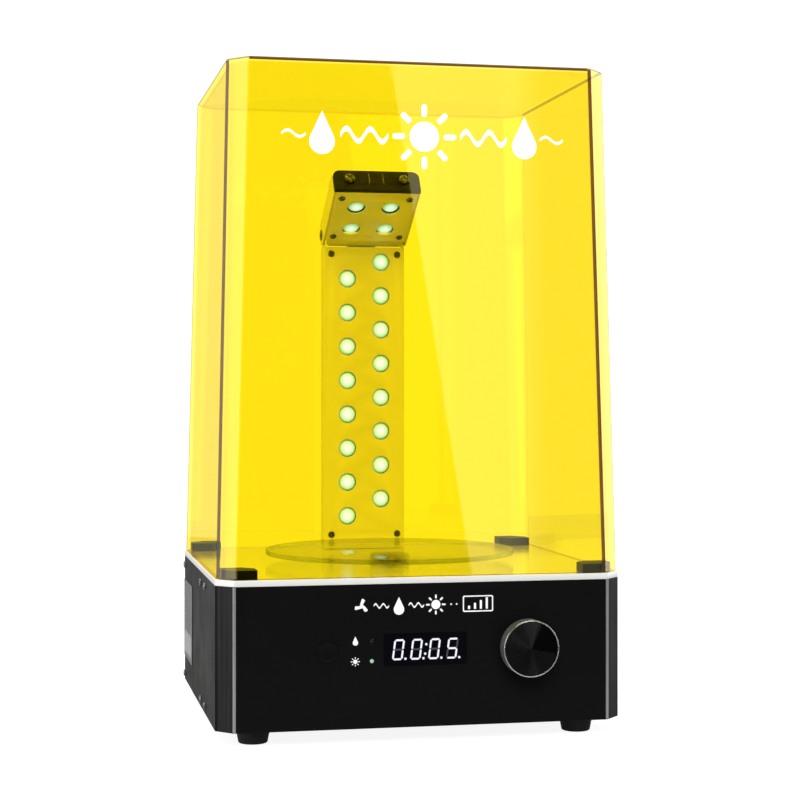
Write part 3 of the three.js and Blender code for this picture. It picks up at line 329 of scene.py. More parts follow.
class Finish:
    """A material with one Principled shader, whose detail is added a step at a time."""

    def __init__(self, name, colour, roughness, **sockets):
        self.material = bpy.data.materials.new(name)
        self.material.use_nodes = True
        self.tree = self.material.node_tree
        self.shader = self.tree.nodes["Principled BSDF"]
        self.shader.inputs["Base Color"].default_value = (*colour, 1)
        self.shader.inputs["Roughness"].default_value = roughness
        for socket, value in sockets.items():
            self.shader.inputs[socket.replace("_", " ")].default_value = value
        self.place = self.add("ShaderNodeTexCoord").outputs["Object"]

    def add(self, kind, inputs=None, **settings):
        return add_node(self.tree, kind, inputs, **settings)

    def drive(self, socket, value):
        self.tree.links.new(value, self.shader.inputs[socket])

    def grain(self, scale, stretch=(1, 1, 1), detail=3.0):
        """Noise of scale features to the metre, drawn out where stretch is small."""
        place = self.add("ShaderNodeMapping", {"Vector": self.place, "Scale": stretch}).outputs[0]
        noise = self.add("ShaderNodeTexNoise", {"Vector": place, "Scale": scale, "Detail": detail})
        return noise.outputs["Fac"]

    def span(self, value, least, most, start=0.35, end=0.65):
        """A pattern's values from start to end, spread from least to most."""
        ends = {"From Min": start, "From Max": end, "To Min": least, "To Max": most}
        return self.add("ShaderNodeMapRange", {"Value": value, **ends}).outputs["Result"]

    def colours(self, pattern, dark, light):
        """Mixes two colours by a pattern and returns the mixture."""
        inputs = {0: pattern, 6: (*dark, 1), 7: (*light, 1)}
        return self.add("ShaderNodeMix", inputs, data_type="RGBA").outputs[2]

    def ramp(self, value, stops, easing="LINEAR"):
        """Colours picked by a value from (position, colour) stops."""
        node = self.add("ShaderNodeValToRGB", {"Fac": value})
        node.color_ramp.interpolation = easing
        while len(node.color_ramp.elements) < len(stops):
            node.color_ramp.elements.new(0.5)
        for element, (position, colour) in zip(node.color_ramp.elements, stops):
            element.position = position
            element.color = (*colour, 1)
        return node.outputs["Color"]

    def paint(self, pattern, dark, light):
        """Varies the colour by a pattern."""
        self.drive("Base Color", self.colours(pattern, dark, light))

    def rough(self, pattern, least, most):
        """Varies the roughness by a pattern."""
        self.drive("Roughness", self.span(pattern, least, most))

    def bump(self, pattern, height):
        """Raises the surface by a pattern, by up to a height in millimetres."""
        inputs = {"Height": pattern, "Distance": height * MM, "Strength": 1.0}
        self.drive("Normal", self.add("ShaderNodeBump", inputs).outputs[0])


WHITE = (1, 1, 1, 1)


def grey(value):
    return (value, value, value)


def powder_coat():
    """Black powder coat: a fine orange peel, with faint rolling marks up and down the sheet."""
    finish = Finish("powder coat", grey(0.02), 0.55, Specular_IOR_Level=0.07)
    streaks = finish.grain(1100, (1, 1, 0.008))
    finish.paint(finish.span(streaks, 0, 1), grey(0.009), grey(0.019))
    peel = finish.grain(1500)
    finish.rough(finish.grain(24), 0.5, 0.62)
    finish.bump(peel, 0.02)
    return finish.material


def fascia_black():
    """Satin black front panel, with handling marks that change only its gloss."""
    finish = Finish("fascia black", grey(0.0035), 0.42, Specular_IOR_Level=0.06)
    finish.rough(finish.grain(14), 0.38, 0.5)
    finish.paint(finish.grain(60), grey(0.0031), grey(0.004))
    finish.bump(finish.grain(2600), 0.004)
    return finish.material


def polished_deck():
    """Bright polished deck sheet, brushed from side to side."""
    finish = Finish("polished deck", grey(0.86), 0.14, Metallic=0.62)
    brushed = finish.grain(700, (0.015, 1, 1))
    finish.rough(brushed, 0.1, 0.19)
    finish.paint(finish.grain(9), grey(0.86), grey(0.93))
    finish.bump(brushed, 0.002)
    return finish.material


def bright_edge():
    """The cut edge of the deck sheet: satin white metal with fine saw marks."""
    finish = Finish("bright edge", (0.66, 0.655, 0.63), 0.34, Metallic=0.1)
    marks = finish.grain(900, (1, 1, 0.03))
    finish.rough(marks, 0.28, 0.42)
    finish.bump(marks, 0.004)
    return finish.material


def galvanised():
    """Zinc-coated inner sheet with its spangle."""
    finish = Finish("galvanised", grey(0.55), 0.4, Metallic=0.9)
    cells = finish.add("ShaderNodeTexVoronoi", {"Vector": finish.place, "Scale": 190.0})
    spangle = cells.outputs["Color"]
    finish.paint(spangle, grey(0.42), grey(0.66))
    finish.rough(finish.grain(90), 0.3, 0.5)
    return finish.material


def lamp_metal():
    """Pale satin coating of the lamp column and head."""
    finish = Finish("lamp metal", (0.8, 0.77, 0.71), 0.36, Metallic=0.15)
    satin = finish.grain(1100)
    finish.rough(finish.grain(30), 0.3, 0.44)
    finish.paint(finish.grain(45), (0.77, 0.74, 0.68), (0.82, 0.79, 0.73))
    finish.bump(satin, 0.008)
    return finish.material


def rubber():
    """Matt black rubber with a moulded grain."""
    finish = Finish("rubber", grey(0.012), 0.75, Specular_IOR_Level=0.3)
    finish.rough(finish.grain(80), 0.65, 0.85)
    finish.bump(finish.grain(900), 0.05)
    return finish.material


def black_oxide():
    """Blackened screws, worn brighter in spots."""
    finish = Finish("black oxide", grey(0.25), 0.3, Metallic=0.9)
    wear = finish.span(finish.grain(700), 0, 1, 0.5, 0.72)
    finish.paint(wear, grey(0.13), grey(0.4))
    finish.rough(finish.grain(400), 0.22, 0.4)
    return finish.material


def moulded_black():
    """Black moulded plastic with a fine spark-eroded texture."""
    finish = Finish("moulded black", grey(0.003), 0.45, Specular_IOR_Level=0.22)
    finish.rough(finish.grain(50), 0.38, 0.54)
    finish.bump(finish.grain(1700), 0.015)
    return finish.material


def label_stock():
    """Grey metallised label stock."""
    finish = Finish("label stock", grey(0.08), 0.45, Metallic=0.2)
    finish.paint(finish.grain(120), grey(0.06), grey(0.1))
    finish.rough(finish.grain(60), 0.34, 0.48)
    return finish.material


def label_ink(name, scale, dark, light):
    """Uneven grey print on the label."""
    finish = Finish(name, grey((dark + light) / 2), 0.5)
    finish.paint(finish.grain(scale), grey(dark), grey(light))
    return finish.material


def solder_mask(name, dark, light):
    """Circuit board: lacquer over fine tracks."""
    finish = Finish(name, dark, 0.3, Coat_Weight=0.3)
    cells = {"Vector": finish.place, "Scale": 420.0, "Mortar Size": 0.04}
    brick = finish.add("ShaderNodeTexBrick", cells).outputs["Fac"]
    finish.paint(brick, dark, light)
    finish.bump(brick, 0.03)
    return finish.material


def machined(name, colour, roughness):
    """Turned metal with fine tool marks."""
    finish = Finish(name, colour, roughness, Metallic=1.0)
    marks = finish.grain(1600, (0.1, 0.1, 1))
    finish.rough(marks, roughness - 0.08, roughness + 0.1)
    finish.bump(marks, 0.006)
    return finish.material


def cable_sleeve():
    """Black cable sleeving."""
    finish = Finish("cable sleeve", grey(0.014), 0.55)
    finish.bump(finish.grain(800, (1, 1, 0.2)), 0.05)
    finish.rough(finish.grain(100), 0.45, 0.65)
    return finish.material


def knob_face():
    """Black anodised end face with spun grooves; its broad dark and paler wedges are painted reflections in
    the base colour, set by angle about the axis.
    """
    finish = Finish("knob face", grey(0.02), 0.3, Metallic=0.9)
    centre = (-KNOB_AXIS.x * MM, -KNOB_AXIS.z * MM, 0)
    turning = {"Vector": finish.place, "Rotation": (math.radians(-90), 0, 0)}
    upright = finish.add("ShaderNodeMapping", turning).outputs[0]
    offset = finish.add("ShaderNodeVectorMath", {0: upright, 1: centre}, operation="ADD").outputs[0]
    angle = finish.add("ShaderNodeTexGradient", {"Vector": offset}, gradient_type="RADIAL").outputs["Fac"]
    # dark and paler wedges by angle: painted reflection of the spun grooves
    painted_sheen_sectors = [(0.0, 0.013), (0.2, 0.007), (0.27, 0.017), (0.33, 0.008), (0.45, 0.01),
               (0.48, 0.001), (0.67, 0.001), (0.72, 0.032), (0.86, 0.014), (0.9, 0.024), (1.0, 0.013)]
    stops = [(position, grey(shade)) for position, shade in painted_sheen_sectors]
    finish.drive("Base Color", finish.ramp(angle, stops, "EASE"))
    finish.rough(finish.grain(500), 0.24, 0.36)
    rings = {"wave_type": "RINGS", "rings_direction": "Z"}
    grooves = finish.add("ShaderNodeTexWave", {"Vector": offset, "Scale": 500.0}, **rings)
    finish.bump(grooves.outputs["Fac"], 0.004)
    return finish.material


def knob_side():
    """Black anodised side of the knob."""
    finish = Finish("knob side", grey(0.32), 0.6, Metallic=1.0)
    marks = finish.grain(1400, (0.05, 1, 0.05))
    finish.rough(marks, 0.54, 0.66)
    finish.bump(marks, 0.002)
    return finish.material


def plain(name, colour, roughness, scale, least, most, **sockets):
    """One colour, with marks of a scale that change only its gloss."""
    finish = Finish(name, colour, roughness, **sockets)
    finish.rough(finish.grain(scale), least, most)
    return finish.material


def chrome():
    """Polished ring with hairline polishing marks."""
    return plain("chrome", grey(0.8), 0.12, 900, 0.08, 0.2, Metallic=1.0)


def button_black():
    """Glossy black button cap."""
    colour = (0.0028, 0.0028, 0.0034)
    return plain("button black", colour, 0.2, 120, 0.16, 0.28, Specular_IOR_Level=0.2)


def smoked_window():
    """Smoked display window, glossier than the panel round it."""
    colour = (0.0018, 0.0018, 0.0032)
    return plain("smoked window", colour, 0.16, 40, 0.13, 0.22, Specular_IOR_Level=0.06)


def white_ink(name="white ink", strength=0.0):
    """Screen-printed white, slightly uneven, with a glow of the given strength that is painted light where it
    is above zero.
    """
    finish = Finish(name, grey(0.85), 0.5, Emission_Strength=strength, Emission_Color=WHITE)
    finish.paint(finish.grain(900), grey(0.78), grey(0.9))
    finish.rough(finish.grain(300), 0.42, 0.6)
    return finish.material


def glow(name, colour, strength, dim=0.75):
    """A lit segment or lamp, a little uneven like a real light guide."""
    finish = Finish(name, grey(0.3), 0.4, Emission_Strength=strength)
    shades = [channel * dim for channel in colour]
    finish.drive("Emission Color", finish.colours(finish.grain(600), shades, colour))
    return finish.material


def lens_glow():
    """A lit lens: near white in the middle, falling off to a dark rim."""
    finish = Finish("lens glow", (0.5, 0.6, 0.5), 0.12, Emission_Strength=1.0)
    reach = finish.add("ShaderNodeAttribute", attribute_name="reach").outputs["Fac"]
    stops = [(0.0, (0.74, 1.1, 12.5)), (0.35, (0.5, 0.98, 8.5)),
             (0.74, (0.18, 0.62, 3.4)), (1.0, (0.02, 0.14, 0.3))]
    finish.drive("Emission Color", finish.ramp(reach, stops))
    finish.rough(finish.grain(300), 0.08, 0.2)
    return finish.material


def clear_sheet(name, tint, least=0.04, most=0.15, roughness=0.01, haze=0.012):
    """Cast acrylic: each face tints what is behind it and adds a thin mirror that grows at a slant."""
    finish = Finish(name, tint, roughness)
    finish.tree.nodes.remove(finish.shader)
    facing = finish.add("ShaderNodeLayerWeight", {"Blend": 0.5}).outputs["Facing"]
    steep = finish.add("ShaderNodeMath", {0: facing, 1: 5.0}, operation="POWER").outputs[0]
    rise = {0: steep, 1: 1 - least, 2: least}
    mirror = finish.add("ShaderNodeMath", rise, operation="MULTIPLY_ADD").outputs[0]
    held = finish.add("ShaderNodeMath", {0: mirror, 1: most}, operation="MINIMUM").outputs[0]
    cloud = finish.span(finish.grain(7), 0, 1)
    paler = [channel + haze * (1 - channel) for channel in tint]
    body = finish.add("ShaderNodeBsdfTransparent", {"Color": finish.colours(cloud, tint, paler)})
    scratches = finish.span(finish.grain(260, (1, 1, 0.08)), roughness, roughness + 0.05, 0.5, 0.7)
    gloss = finish.add("ShaderNodeBsdfGlossy", {"Roughness": scratches})
    mixed = finish.add("ShaderNodeMixShader", {0: held, 1: body.outputs[0], 2: gloss.outputs[0]})
    finish.tree.links.new(mixed.outputs[0], finish.tree.nodes["Material Output"].inputs["Surface"])
    return finish.material


WALL, DARK, FINE, OUTER, RIM, PALE = range(6)  # the kinds of face on the cover: WALL is the plain sheet; DARK, FINE, OUTER and RIM are darker tints painted as shade on its edges and corners; PALE is a paler tint painted as light on one wall
COVER_FINISHES = [
    clear_sheet("cover sheet", (1.0, 0.933, 0.283)),
    clear_sheet("cover painted edge shade", (0.16, 0.07, 0.01), most=0.06),
    clear_sheet("cover fine edge", (0.88, 0.76, 0.2), most=0.1),
    clear_sheet("cover outer edge", (0.5, 0.4, 0.15), most=0.1),
    clear_sheet("cover rim", (0.5, 0.36, 0.12), most=0.1),
    clear_sheet("cover painted lit wall", (1.0, 0.97, 0.5)),
]
CLEAR = clear_sheet("clear acrylic", (0.96, 0.97, 0.95), most=0.3)
# a darker copy of the clear tint, painted as shade on the turntable disc's rim, and used for the hub too
CLEAR_EDGE = clear_sheet("clear acrylic edge", (0.68, 0.72, 0.62), most=0.3)
INK = white_ink()
LENS_GLOW = lens_glow()

FINISHES = {
    "housing_black": powder_coat(),
    "fascia_black": fascia_black(),
    "deck_bright": polished_deck(),
    "sheet_steel": galvanised(),
    "lamp_metal": lamp_metal(),
    "rubber_black": rubber(),
    "screw_black": black_oxide(),
    "plastic_black": moulded_black(),
    "label_grey": label_stock(),
    "board_green": solder_mask("green board", (0.01, 0.07, 0.025), (0.02, 0.14, 0.05)),
    "board_white": solder_mask("white board", (0.6, 0.6, 0.58), (0.78, 0.78, 0.76)),
    "steel_plain": machined("plain steel", grey(0.56), 0.32),
    "brass": machined("brass", (0.78, 0.57, 0.25), 0.28),
    "coupling_metal": machined("coupling metal", grey(0.72), 0.3),
    "wire_black": cable_sleeve(),
    "clear_acrylic": CLEAR,
    "lamp_lens": CLEAR,
    "cover_yellow": COVER_FINISHES[WALL],
    "knob_black": knob_side(),
    "chrome_ring": chrome(),
    "button_black": button_black(),
}


# ---- screws


def cross_screw(radius, height):
    """A pan head with a cross recess, standing on Z = 0."""
    rim = 0.3 * height
    head = turned([(0, 0, 0), (radius, 0, 0), (radius, 0.6 * height, rim), (0.7 * radius, height, rim),
                   (0, height, 0)], 36)
    arm, half = 0.66 * radius, 0.17 * radius
    one_arm = [(half, half), (half, arm), (-half, arm)]
    cross = [point for k in range(4) for point in moved(one_arm, 0, 0, 90 * k)]
    floor, above = 0.35 * height, height + 1
    dimple = lathe([(0, floor - 0.15), (1.7 * half, floor), (1.9 * half, above), (0, above)], 16)
    return carved(carved(head, slab(cross, floor, above)), dimple)


SMALL_SCREW = cross_screw(2.8, 1.6)
LARGE_SCREW = cross_screw(4.2, 2.0)


def add_screws(name, template, frame_matrix, places, body, replaces=(), sink=0.0, twist=17):
    """Copies of a screw at (x, y) places on a face, each turned a little differently."""
    heads = []
    for index, (x, y) in enumerate(places):
        heads.append(copied(template, shift(x, y, -sink) @ turn(twist * (1 + index), "Z")))
    place(name, joined(heads), frame_matrix, body, "screw_black", replaces=replaces)


# ---- cover

COVER_LOW = low("cover_shell")
COVER_HIGH = high("cover_shell")
COVER_SHEET = 3.0
COVER_ROUND = 1.5
ARC_OUTSIDE = 0.9
ARC_INSIDE = 0.3
CROWN_CUT = (13.5, 15.5)
CROWN_IN = {"side": 7.9, "front": 5.8, "back": 8.3}
# The line at each corner, going round from the front's left end: width before it, width after it, kind. The
# darker kinds are painted shade.
CORNER_LINES = [
    (0.7, 0.7, WALL), (2.3, 0.9, DARK), (0.8, 0.8, OUTER), (0.6, 0.6, FINE),
    (0.7, 0.7, WALL), (0.7, 0.7, WALL), (0.8, 0.8, OUTER), (0.9, 2.8, DARK),
]
FRONT_TOP_LINE = 2.4


def cover_plan(share):
    """The eight corners of the cover's outline, at a share of its height, from the front's left end."""
    half = COVER_HIGH.x - CROWN_IN["side"] * share
    front = COVER_LOW.y + CROWN_IN["front"] * share
    back = COVER_HIGH.y - CROWN_IN["back"] * share
    cut = [foot + (crown - foot) * share for foot, crown in zip(CORNER_CUT, CROWN_CUT)]
    return cut_plan(half, front, back, *cut)


def cover_ring(plan, radius):
    """The outline with five points to a corner: line start, three on a small arc, line end."""
    points = []
    for index, corner in enumerate(plan):
        before = (plan[index - 1] - corner).normalized()
        after = (plan[(index + 1) % len(plan)] - corner).normalized()
        ahead, behind, _ = CORNER_LINES[index]
        half = before.angle(after) / 2
        centre = corner + (before + after).normalized() * (radius / math.sin(half))
        crest = centre + (corner - centre).normalized() * radius
        reach = radius / math.tan(half)
        points += [corner + before * ahead, corner + before * reach, crest]
        points += [corner + after * reach, corner + after * behind]
    return points


def cover_mesh():
    """The cover: tapered walls, cut corners, a rounded top edge and its own face for each edge line, tinted
    darker as painted shade, with one wall tinted paler as painted light.
    """
    height = COVER_HIGH.z - COVER_LOW.z
    heights = [(0, 0), (0.5, 0), (height - FRONT_TOP_LINE, 0), (height - COVER_ROUND, 0)]
    for degrees in (30, 60, 90):
        angle = math.radians(degrees)
        heights.append((height - COVER_ROUND * (1 - math.sin(angle)), COVER_ROUND * (1 - math.cos(angle))))
    bm = bmesh.new()

    def ring_at(z, inward, radius):
        outline = cover_ring(drawn_in(cover_plan(z / height), inward), radius)
        return [bm.verts.new((p.x, p.y, COVER_LOW.z + z)) for p in outline]

    def strip(lower, upper, kind_at):
        for k in range(len(lower)):
            after = (k + 1) % len(lower)
            face = bm.faces.new([lower[k], lower[after], upper[after], upper[k]])
            face.material_index = kind_at(*divmod(k, 5))

    def wall_kind(corner, part):
        if part < 4:
            return CORNER_LINES[corner][2]
        # the wall after the right rear cut corner gets the paler tint: painted light
        return PALE if corner == 3 else WALL

    def line_kind(corner, part):
        return DARK if (corner, part) == (0, 4) else wall_kind(corner, part)

    def top_kind(corner, part):
        if corner == 0 and part == 4:
            return DARK
        return FINE if corner in (3, 4, 5) else OUTER

    outer = [ring_at(z, inward, ARC_OUTSIDE) for z, inward in heights]
    inner = [ring_at(z, COVER_SHEET, ARC_INSIDE) for z in (0, height - COVER_SHEET)]
    strip(outer[0], outer[1], lambda corner, part: RIM if corner in (0, 7) else FINE)
    strip(outer[1], outer[2], wall_kind)
    strip(outer[2], outer[3], line_kind)
    for lower, upper in zip(outer[3:], outer[4:]):
        strip(lower, upper, top_kind)
    strip(inner[0], inner[1], lambda corner, part: WALL)
    strip(outer[0], inner[0], lambda corner, part: FINE)
    bm.faces.new(outer[-1]).material_index = WALL
    bm.faces.new(inner[1]).material_index = WALL
    return from_bmesh(bm, 1e-5)


def add_cover():
    mesh = cover_mesh()
    place("cover", mesh, AS_DRAWN, "cover", "cover_yellow", COVER_FINISHES, ["cover_shell"], smooth=50)


# ---- printed marks

INK_DEPTH = 0.08


def sun(x, y, size):
    """A disc with eight rays."""
    ray = rectangle(0.09, 0.2, 0, 0.42, 0.04)
    return [circle(0.24 * size, x, y, 32)] + [moved(ray, x, y, 45 * k, size) for k in range(8)]


def drop(x, y, size):
    """A drop with its point up."""
    angles = [math.radians(degrees) for degrees in range(155, 386, 15)]
    bowl = [(0.3 * math.cos(a), 0.3 * math.sin(a) - 0.2) for a in angles]
    return [moved([*bowl, (0.0, 0.5)], x, y, 0, size)]


def wave(x, y, size, crests=2):
    """A wavy band."""
    steps = 16 * crests
    line = [(-0.5 + k / steps, 0.13 * math.sin(math.tau * crests * k / steps)) for k in range(steps + 1)]
    band = [(a, b + 0.055) for a, b in line] + [(a, b - 0.055) for a, b in reversed(line)]
    return [moved(band, x, y, 0, size)]


def rotor(x, y, size):
    """A stirring rotor: three curved blades round a hub."""
    blade = rounded([(0.05, 0.06, 0), (0.2, 0.34, 0.05), (0.02, 0.46, 0.05), (-0.1, 0.1, 0)])
    return [circle(0.12 * size, x, y, 24)] + [moved(blade, x, y, 120 * k, size) for k in range(3)]


def frame_box(x, y, width, height, line):
    """A rounded frame as one outline with its hole cut open."""
    return rectangle(width, height, x, y, 1.2), rectangle(width - 2 * line, height - 2 * line, x, y, 0.8)


def ink_marks(name, outlines, matrix, body, slot, finish, depth=INK_DEPTH):
    """Printed marks as thin raised shapes."""
    marks = joined([slab(outline, 0.0, depth) for outline in outlines])
    place(name, marks, matrix, body, slot, finish)


def add_cover_print():
    """A plain band of sun, wave and drop marks near the top of the cover's front, in white ink given a faint
    glow as painted light.
    """
    lean = math.degrees(math.atan2(CROWN_IN["front"], COVER_HIGH.z - COVER_LOW.z))
    mark_height = 309.5  # above the cover's foot
    matrix = shift(0, COVER_LOW.y, COVER_LOW.z) @ turn(-lean, "X") @ FRONT @ shift(1, mark_height, 0.02)
    outlines = sun(0, 0, 44)
    for side in (-1, 1):
        outlines += wave(side * 43, 0, 34) + drop(side * 73, 1, 30)
        outlines += wave(side * 93, 0, 17, 1)
    # the ink's emission is painted light
    ink_marks("cover_print", outlines, matrix, "cover", "cover_yellow", white_ink("cover ink painted glow", 0.45), 0.1)


# ---- front panel

DIGIT_HEIGHT = 14.6
DIGIT_WIDTH = 7.6
DIGIT_PITCH = 12.9
SEGMENT = 1.3
DIGIT_SLANT = 0.13
LIT = {"0": "abcdef", "5": "acdfg"}
READING = "0005"
DOT = 0.85
COLON_RISE = 3.3
WINDOW_PROUD = 0.05
TITLE_Z = 96.5
DISPLAY_X = middle("display_module").x


def segment_outline(length):
    """One bar of a digit, lying along X, with pointed ends."""
    half, thick = length / 2, SEGMENT / 2
    return [(-half, 0), (-half + thick, -thick), (half - thick, -thick),
            (half, 0), (half - thick, thick), (-half + thick, thick)]


def digit_outlines(x, y):
    """The seven bars of one digit by letter, slanted, about (x, y)."""
    tall, wide = DIGIT_HEIGHT / 2 - SEGMENT / 2, DIGIT_WIDTH / 2 - SEGMENT / 2
    flat, upright = segment_outline(2 * wide - 0.3), segment_outline(tall - 0.3)
    bars = {
        "a": moved(flat, 0, tall), "g": moved(flat, 0, 0), "d": moved(flat, 0, -tall),
        "f": moved(upright, -wide, tall / 2, 90), "b": moved(upright, wide, tall / 2, 90),
        "e": moved(upright, -wide, -tall / 2, 90), "c": moved(upright, wide, -tall / 2, 90),
    }
    return {key: [(x + a + DIGIT_SLANT * b, y + b) for a, b in bar] for key, bar in bars.items()}


def add_display():
    """A smoked window with four digits, their points and a colon."""
    lit, unlit = [], []
    for index, digit in enumerate(READING):
        x = DISPLAY_X + (index - 1.5) * DIGIT_PITCH
        for key, bar in digit_outlines(x, CONTROLS_Z).items():
            (lit if key in LIT[digit] else unlit).append(bar)
        lit.append(circle(DOT, x + 5.0, CONTROLS_Z - DIGIT_HEIGHT / 2 + DOT, 20))
    for side in (-1, 1):
        colon_x = DISPLAY_X + 0.2 + DIGIT_SLANT * 3 * side
        lit.append(circle(DOT, colon_x, CONTROLS_Z + COLON_RISE * side, 20))
    window = slab(rectangle(60, 23, DISPLAY_X, CONTROLS_Z, 1.5), -0.4, WINDOW_PROUD)
    place("display_window", window, FASCIA, "base", "fascia_black", smoked_window())
    raised = FASCIA @ shift(0, 0, WINDOW_PROUD)
    glass = glow("lit segment", (0.74, 0.77, 0.95), 0.8, 0.85)
    ink_marks("display_lit", lit, raised, "base", "clear_acrylic", glass, 0.06)
    dull = plain("unlit segment", (0.045, 0.04, 0.06), 0.3, 200, 0.25, 0.4)
    ink_marks("display_unlit", unlit, raised, "base", "clear_acrylic", dull, 0.04)


def add_fascia_print():
    """Generic marks: a working-mode row over the display and one mark beside each indicator."""
    outlines = rotor(-45, TITLE_Z, 12) + wave(-31, TITLE_Z, 11) + drop(-18.5, TITLE_Z - 0.3, 12.5)
    outlines += wave(-6, TITLE_Z, 11) + sun(8, TITLE_Z, 13.5)
    outlines += [rectangle(1.1, 1.1, 19 + 4 * k, TITLE_Z, 0.4) for k in range(2)]
    outlines += drop(-49.5, INDICATOR_HIGH, 6.2) + sun(-49.5, INDICATOR_LOW, 6.2)
    ink_marks("fascia_print", outlines, FASCIA, "base", "fascia_black", INK)
    outer, inner = frame_box(38.5, TITLE_Z, 22, 11.4, 0.8)
    border = slab(outer, 0.0, INK_DEPTH, [inner])
    foot_z, growth = TITLE_Z - 3.8, 1.9
    bars = []
    for k in range(4):
        tall = 2.4 + growth * k
        bars.append(slab(rectangle(1.5, tall, 32 + 4.3 * k, foot_z + tall / 2, 0.4), 0, INK_DEPTH))
    place("fascia_print_frame", joined([border, *bars]), FASCIA, "base", "fascia_black", INK)


def add_indicators():
    """Two indicator windows: the upper one dark, the lower one lit."""
    x = middle("indicator_guide").x
    radius, top = 1.4, 0.15
    dome = [(0, -1, 0), (radius, -1, 0), (radius, -0.1, 0.3), (0.5, top, 0.4), (0, top, 0)]
    dark = Finish("indicator off", (0.004, 0.006, 0.005), 0.2).material
    lit = glow("indicator lit", (0.16, 0.6, 0.26), 0.55)
    for name, z, finish in [("upper", INDICATOR_HIGH, dark), ("lower", INDICATOR_LOW, lit)]:
        matrix = FASCIA @ shift(x, z, -top)
        place(f"indicator_{name}", turned(dome, 28), matrix, "base", "clear_acrylic", finish)


def add_edge_lines():
    """A paler metal bevel beside the fascia, painted as its highlight line, and a darker black strip on the
    bend behind it, painted as shade, up both front corners.
    """
    base_z, top_z = low("side_panel_left").z + 0.5, high("side_panel_left").z - 0.2
    # paler, more metallic than the housing: a painted highlight along the corner
    bright = Finish("bevel painted highlight", grey(0.3), 0.35, Metallic=0.6)
    bright.rough(bright.grain(500, (1, 1, 0.05)), 0.28, 0.45)
    bevel = rounded([(-1.1, 0.35, 0), (-1.1, -0.05, 0), (0, -0.25, 0.3), (1, 0.35, 0.2), (0.9, 0.8, 0)])
    for name, side in SIDES:
        strip = slab(bevel, base_z, top_z)
        strip.transform(Matrix.Diagonal((side, 1, 1, 1)))
        if side < 0:
            strip.flip_normals()
        matrix = shift(side * (high("fascia_panel").x + 0.5), low("fascia_panel").y, 0)
        place(f"corner_bevel_{name}", strip, matrix, "base", "housing_black", bright.material)
    bend_width, proud, sunk = 2.3, 0.04, 0.32
    along = Vector(CORNER_CUT).normalized()
    outward = Vector((along.y, -along.x))
    corner = Vector((high("side_panel_right").x, low("side_panel_right").y + CORNER_CUT[1]))
    far = corner - along * bend_width
    outline = [p + outward * proud for p in (corner, far)] + [p - outward * sunk for p in (far, corner)]
    for name, side in SIDES:
        # a darker black strip on the bend: painted shade
        strip = slab([(side * p.x, p.y) for p in outline][::side], base_z, top_z)
        place(f"corner_bend_{name}", strip, AS_DRAWN, "base", "housing_black", FINISHES["fascia_black"])


# ---- knob and button

KNOB_RADIUS = (high("knob_body").x - low("knob_body").x) / 2
KNOB_DEPTH = high("knob_body").y - low("knob_ring").y - 2  # without its boss
KNOB_STEPS = 128
RING_WIDTH = 0.8
RING_DEPTH = 1.4


def add_knob():
    """The knob: a spun face, a bright ring and a plain side with a rounded back edge."""
    inner = KNOB_RADIUS - RING_WIDTH
    radius, front, seat = inner - 0.15, -0.3, -1.6
    face = [(0, seat, 0), (radius, seat, 0), (radius, front, 0.25), (0, front, 0)]
    place("knob_face", turned(face, KNOB_STEPS), KNOB, "knob", "knob_black", knob_face())
    recess, bore = 8, 3.3
    recess_end = -KNOB_DEPTH + 1.5
    side = [
        (0, seat, 0), (KNOB_RADIUS, seat, 0.25), (KNOB_RADIUS, -KNOB_DEPTH, 0.8), (recess, -KNOB_DEPTH, 0),
        (recess, recess_end, 0), (bore, recess_end, 0), (bore, -3, 0), (0, -3, 0),
    ]
    place("knob_side", turned(side, KNOB_STEPS), KNOB, "knob", "knob_black", replaces=["knob_body"])
    ring = [(inner, 0, 0.15), (KNOB_RADIUS, 0, 0.4), (KNOB_RADIUS, -RING_DEPTH, 0.1), (inner, -RING_DEPTH, 0)]
    mesh = lathe(rounded(ring), KNOB_STEPS, closed=True)
    place("knob_ring_fine", mesh, KNOB, "knob", "chrome_ring", replaces=["knob_ring"])


def add_button():
    """The mode button: a shallow dished cap with a flange behind the panel."""
    radius, proud, flange, stem = 7.5, 0.6, 9.0, 2.0
    flange_front, flange_back, stem_end = -2.8, -4.0, -6.9
    cap = turned([
        (0, proud - 0.3, 0), (radius - 2, proud - 0.02, 1.5), (radius, proud, 0.45),
        (radius, flange_front, 0), (flange, flange_front, 0), (flange, flange_back, 0),
        (stem, flange_back, 0), (stem, stem_end, 0), (0, stem_end, 0),
    ])
    matrix = shift(BUTTON_AXIS.x, low("fascia_panel").y, BUTTON_AXIS.z) @ FRONT
    place("mode_button_cap", cap, matrix, "mode_button", "button_black", replaces=["mode_button"])


# ---- feet, deck and turntable


def add_feet():
    """Tapered rubber feet with a screw in a recess under each."""
    recess = 2.5
    for node in [name for name in sorted(NODES) if name.startswith("foot_")]:
        radius, top = (high(node).x - low(node).x) / 2, high(node).z
        foot = turned([
            (0, recess, 0), (4.2, recess, 0.4), (4.6, 0, 0.4), (radius - 1.8, 0, 1.2),
            (radius - 0.2, top - 2.4, 0.6), (radius, top - 2.2, 0.2), (radius, top, 0.4), (0, top, 0),
        ], 64)
        spot = shift(middle(node).x, middle(node).y, 0)
        place(f"{node}_rubber", foot, spot, "base", "rubber_black", replaces=[node])
        add_screws(f"{node}_screw", SMALL_SCREW, spot @ shift(0, 0, recess) @ DOWN, [(0, 0)], "base")


def round_plate(node, below, above, steps):
    """A disc the size of a node, with its lower and upper edges rounded."""
    base, top, radius = low(node).z, high(node).z, high(node).x
    return turned([(0, base, 0), (radius, base, below), (radius, top, above), (0, top, 0)], steps)


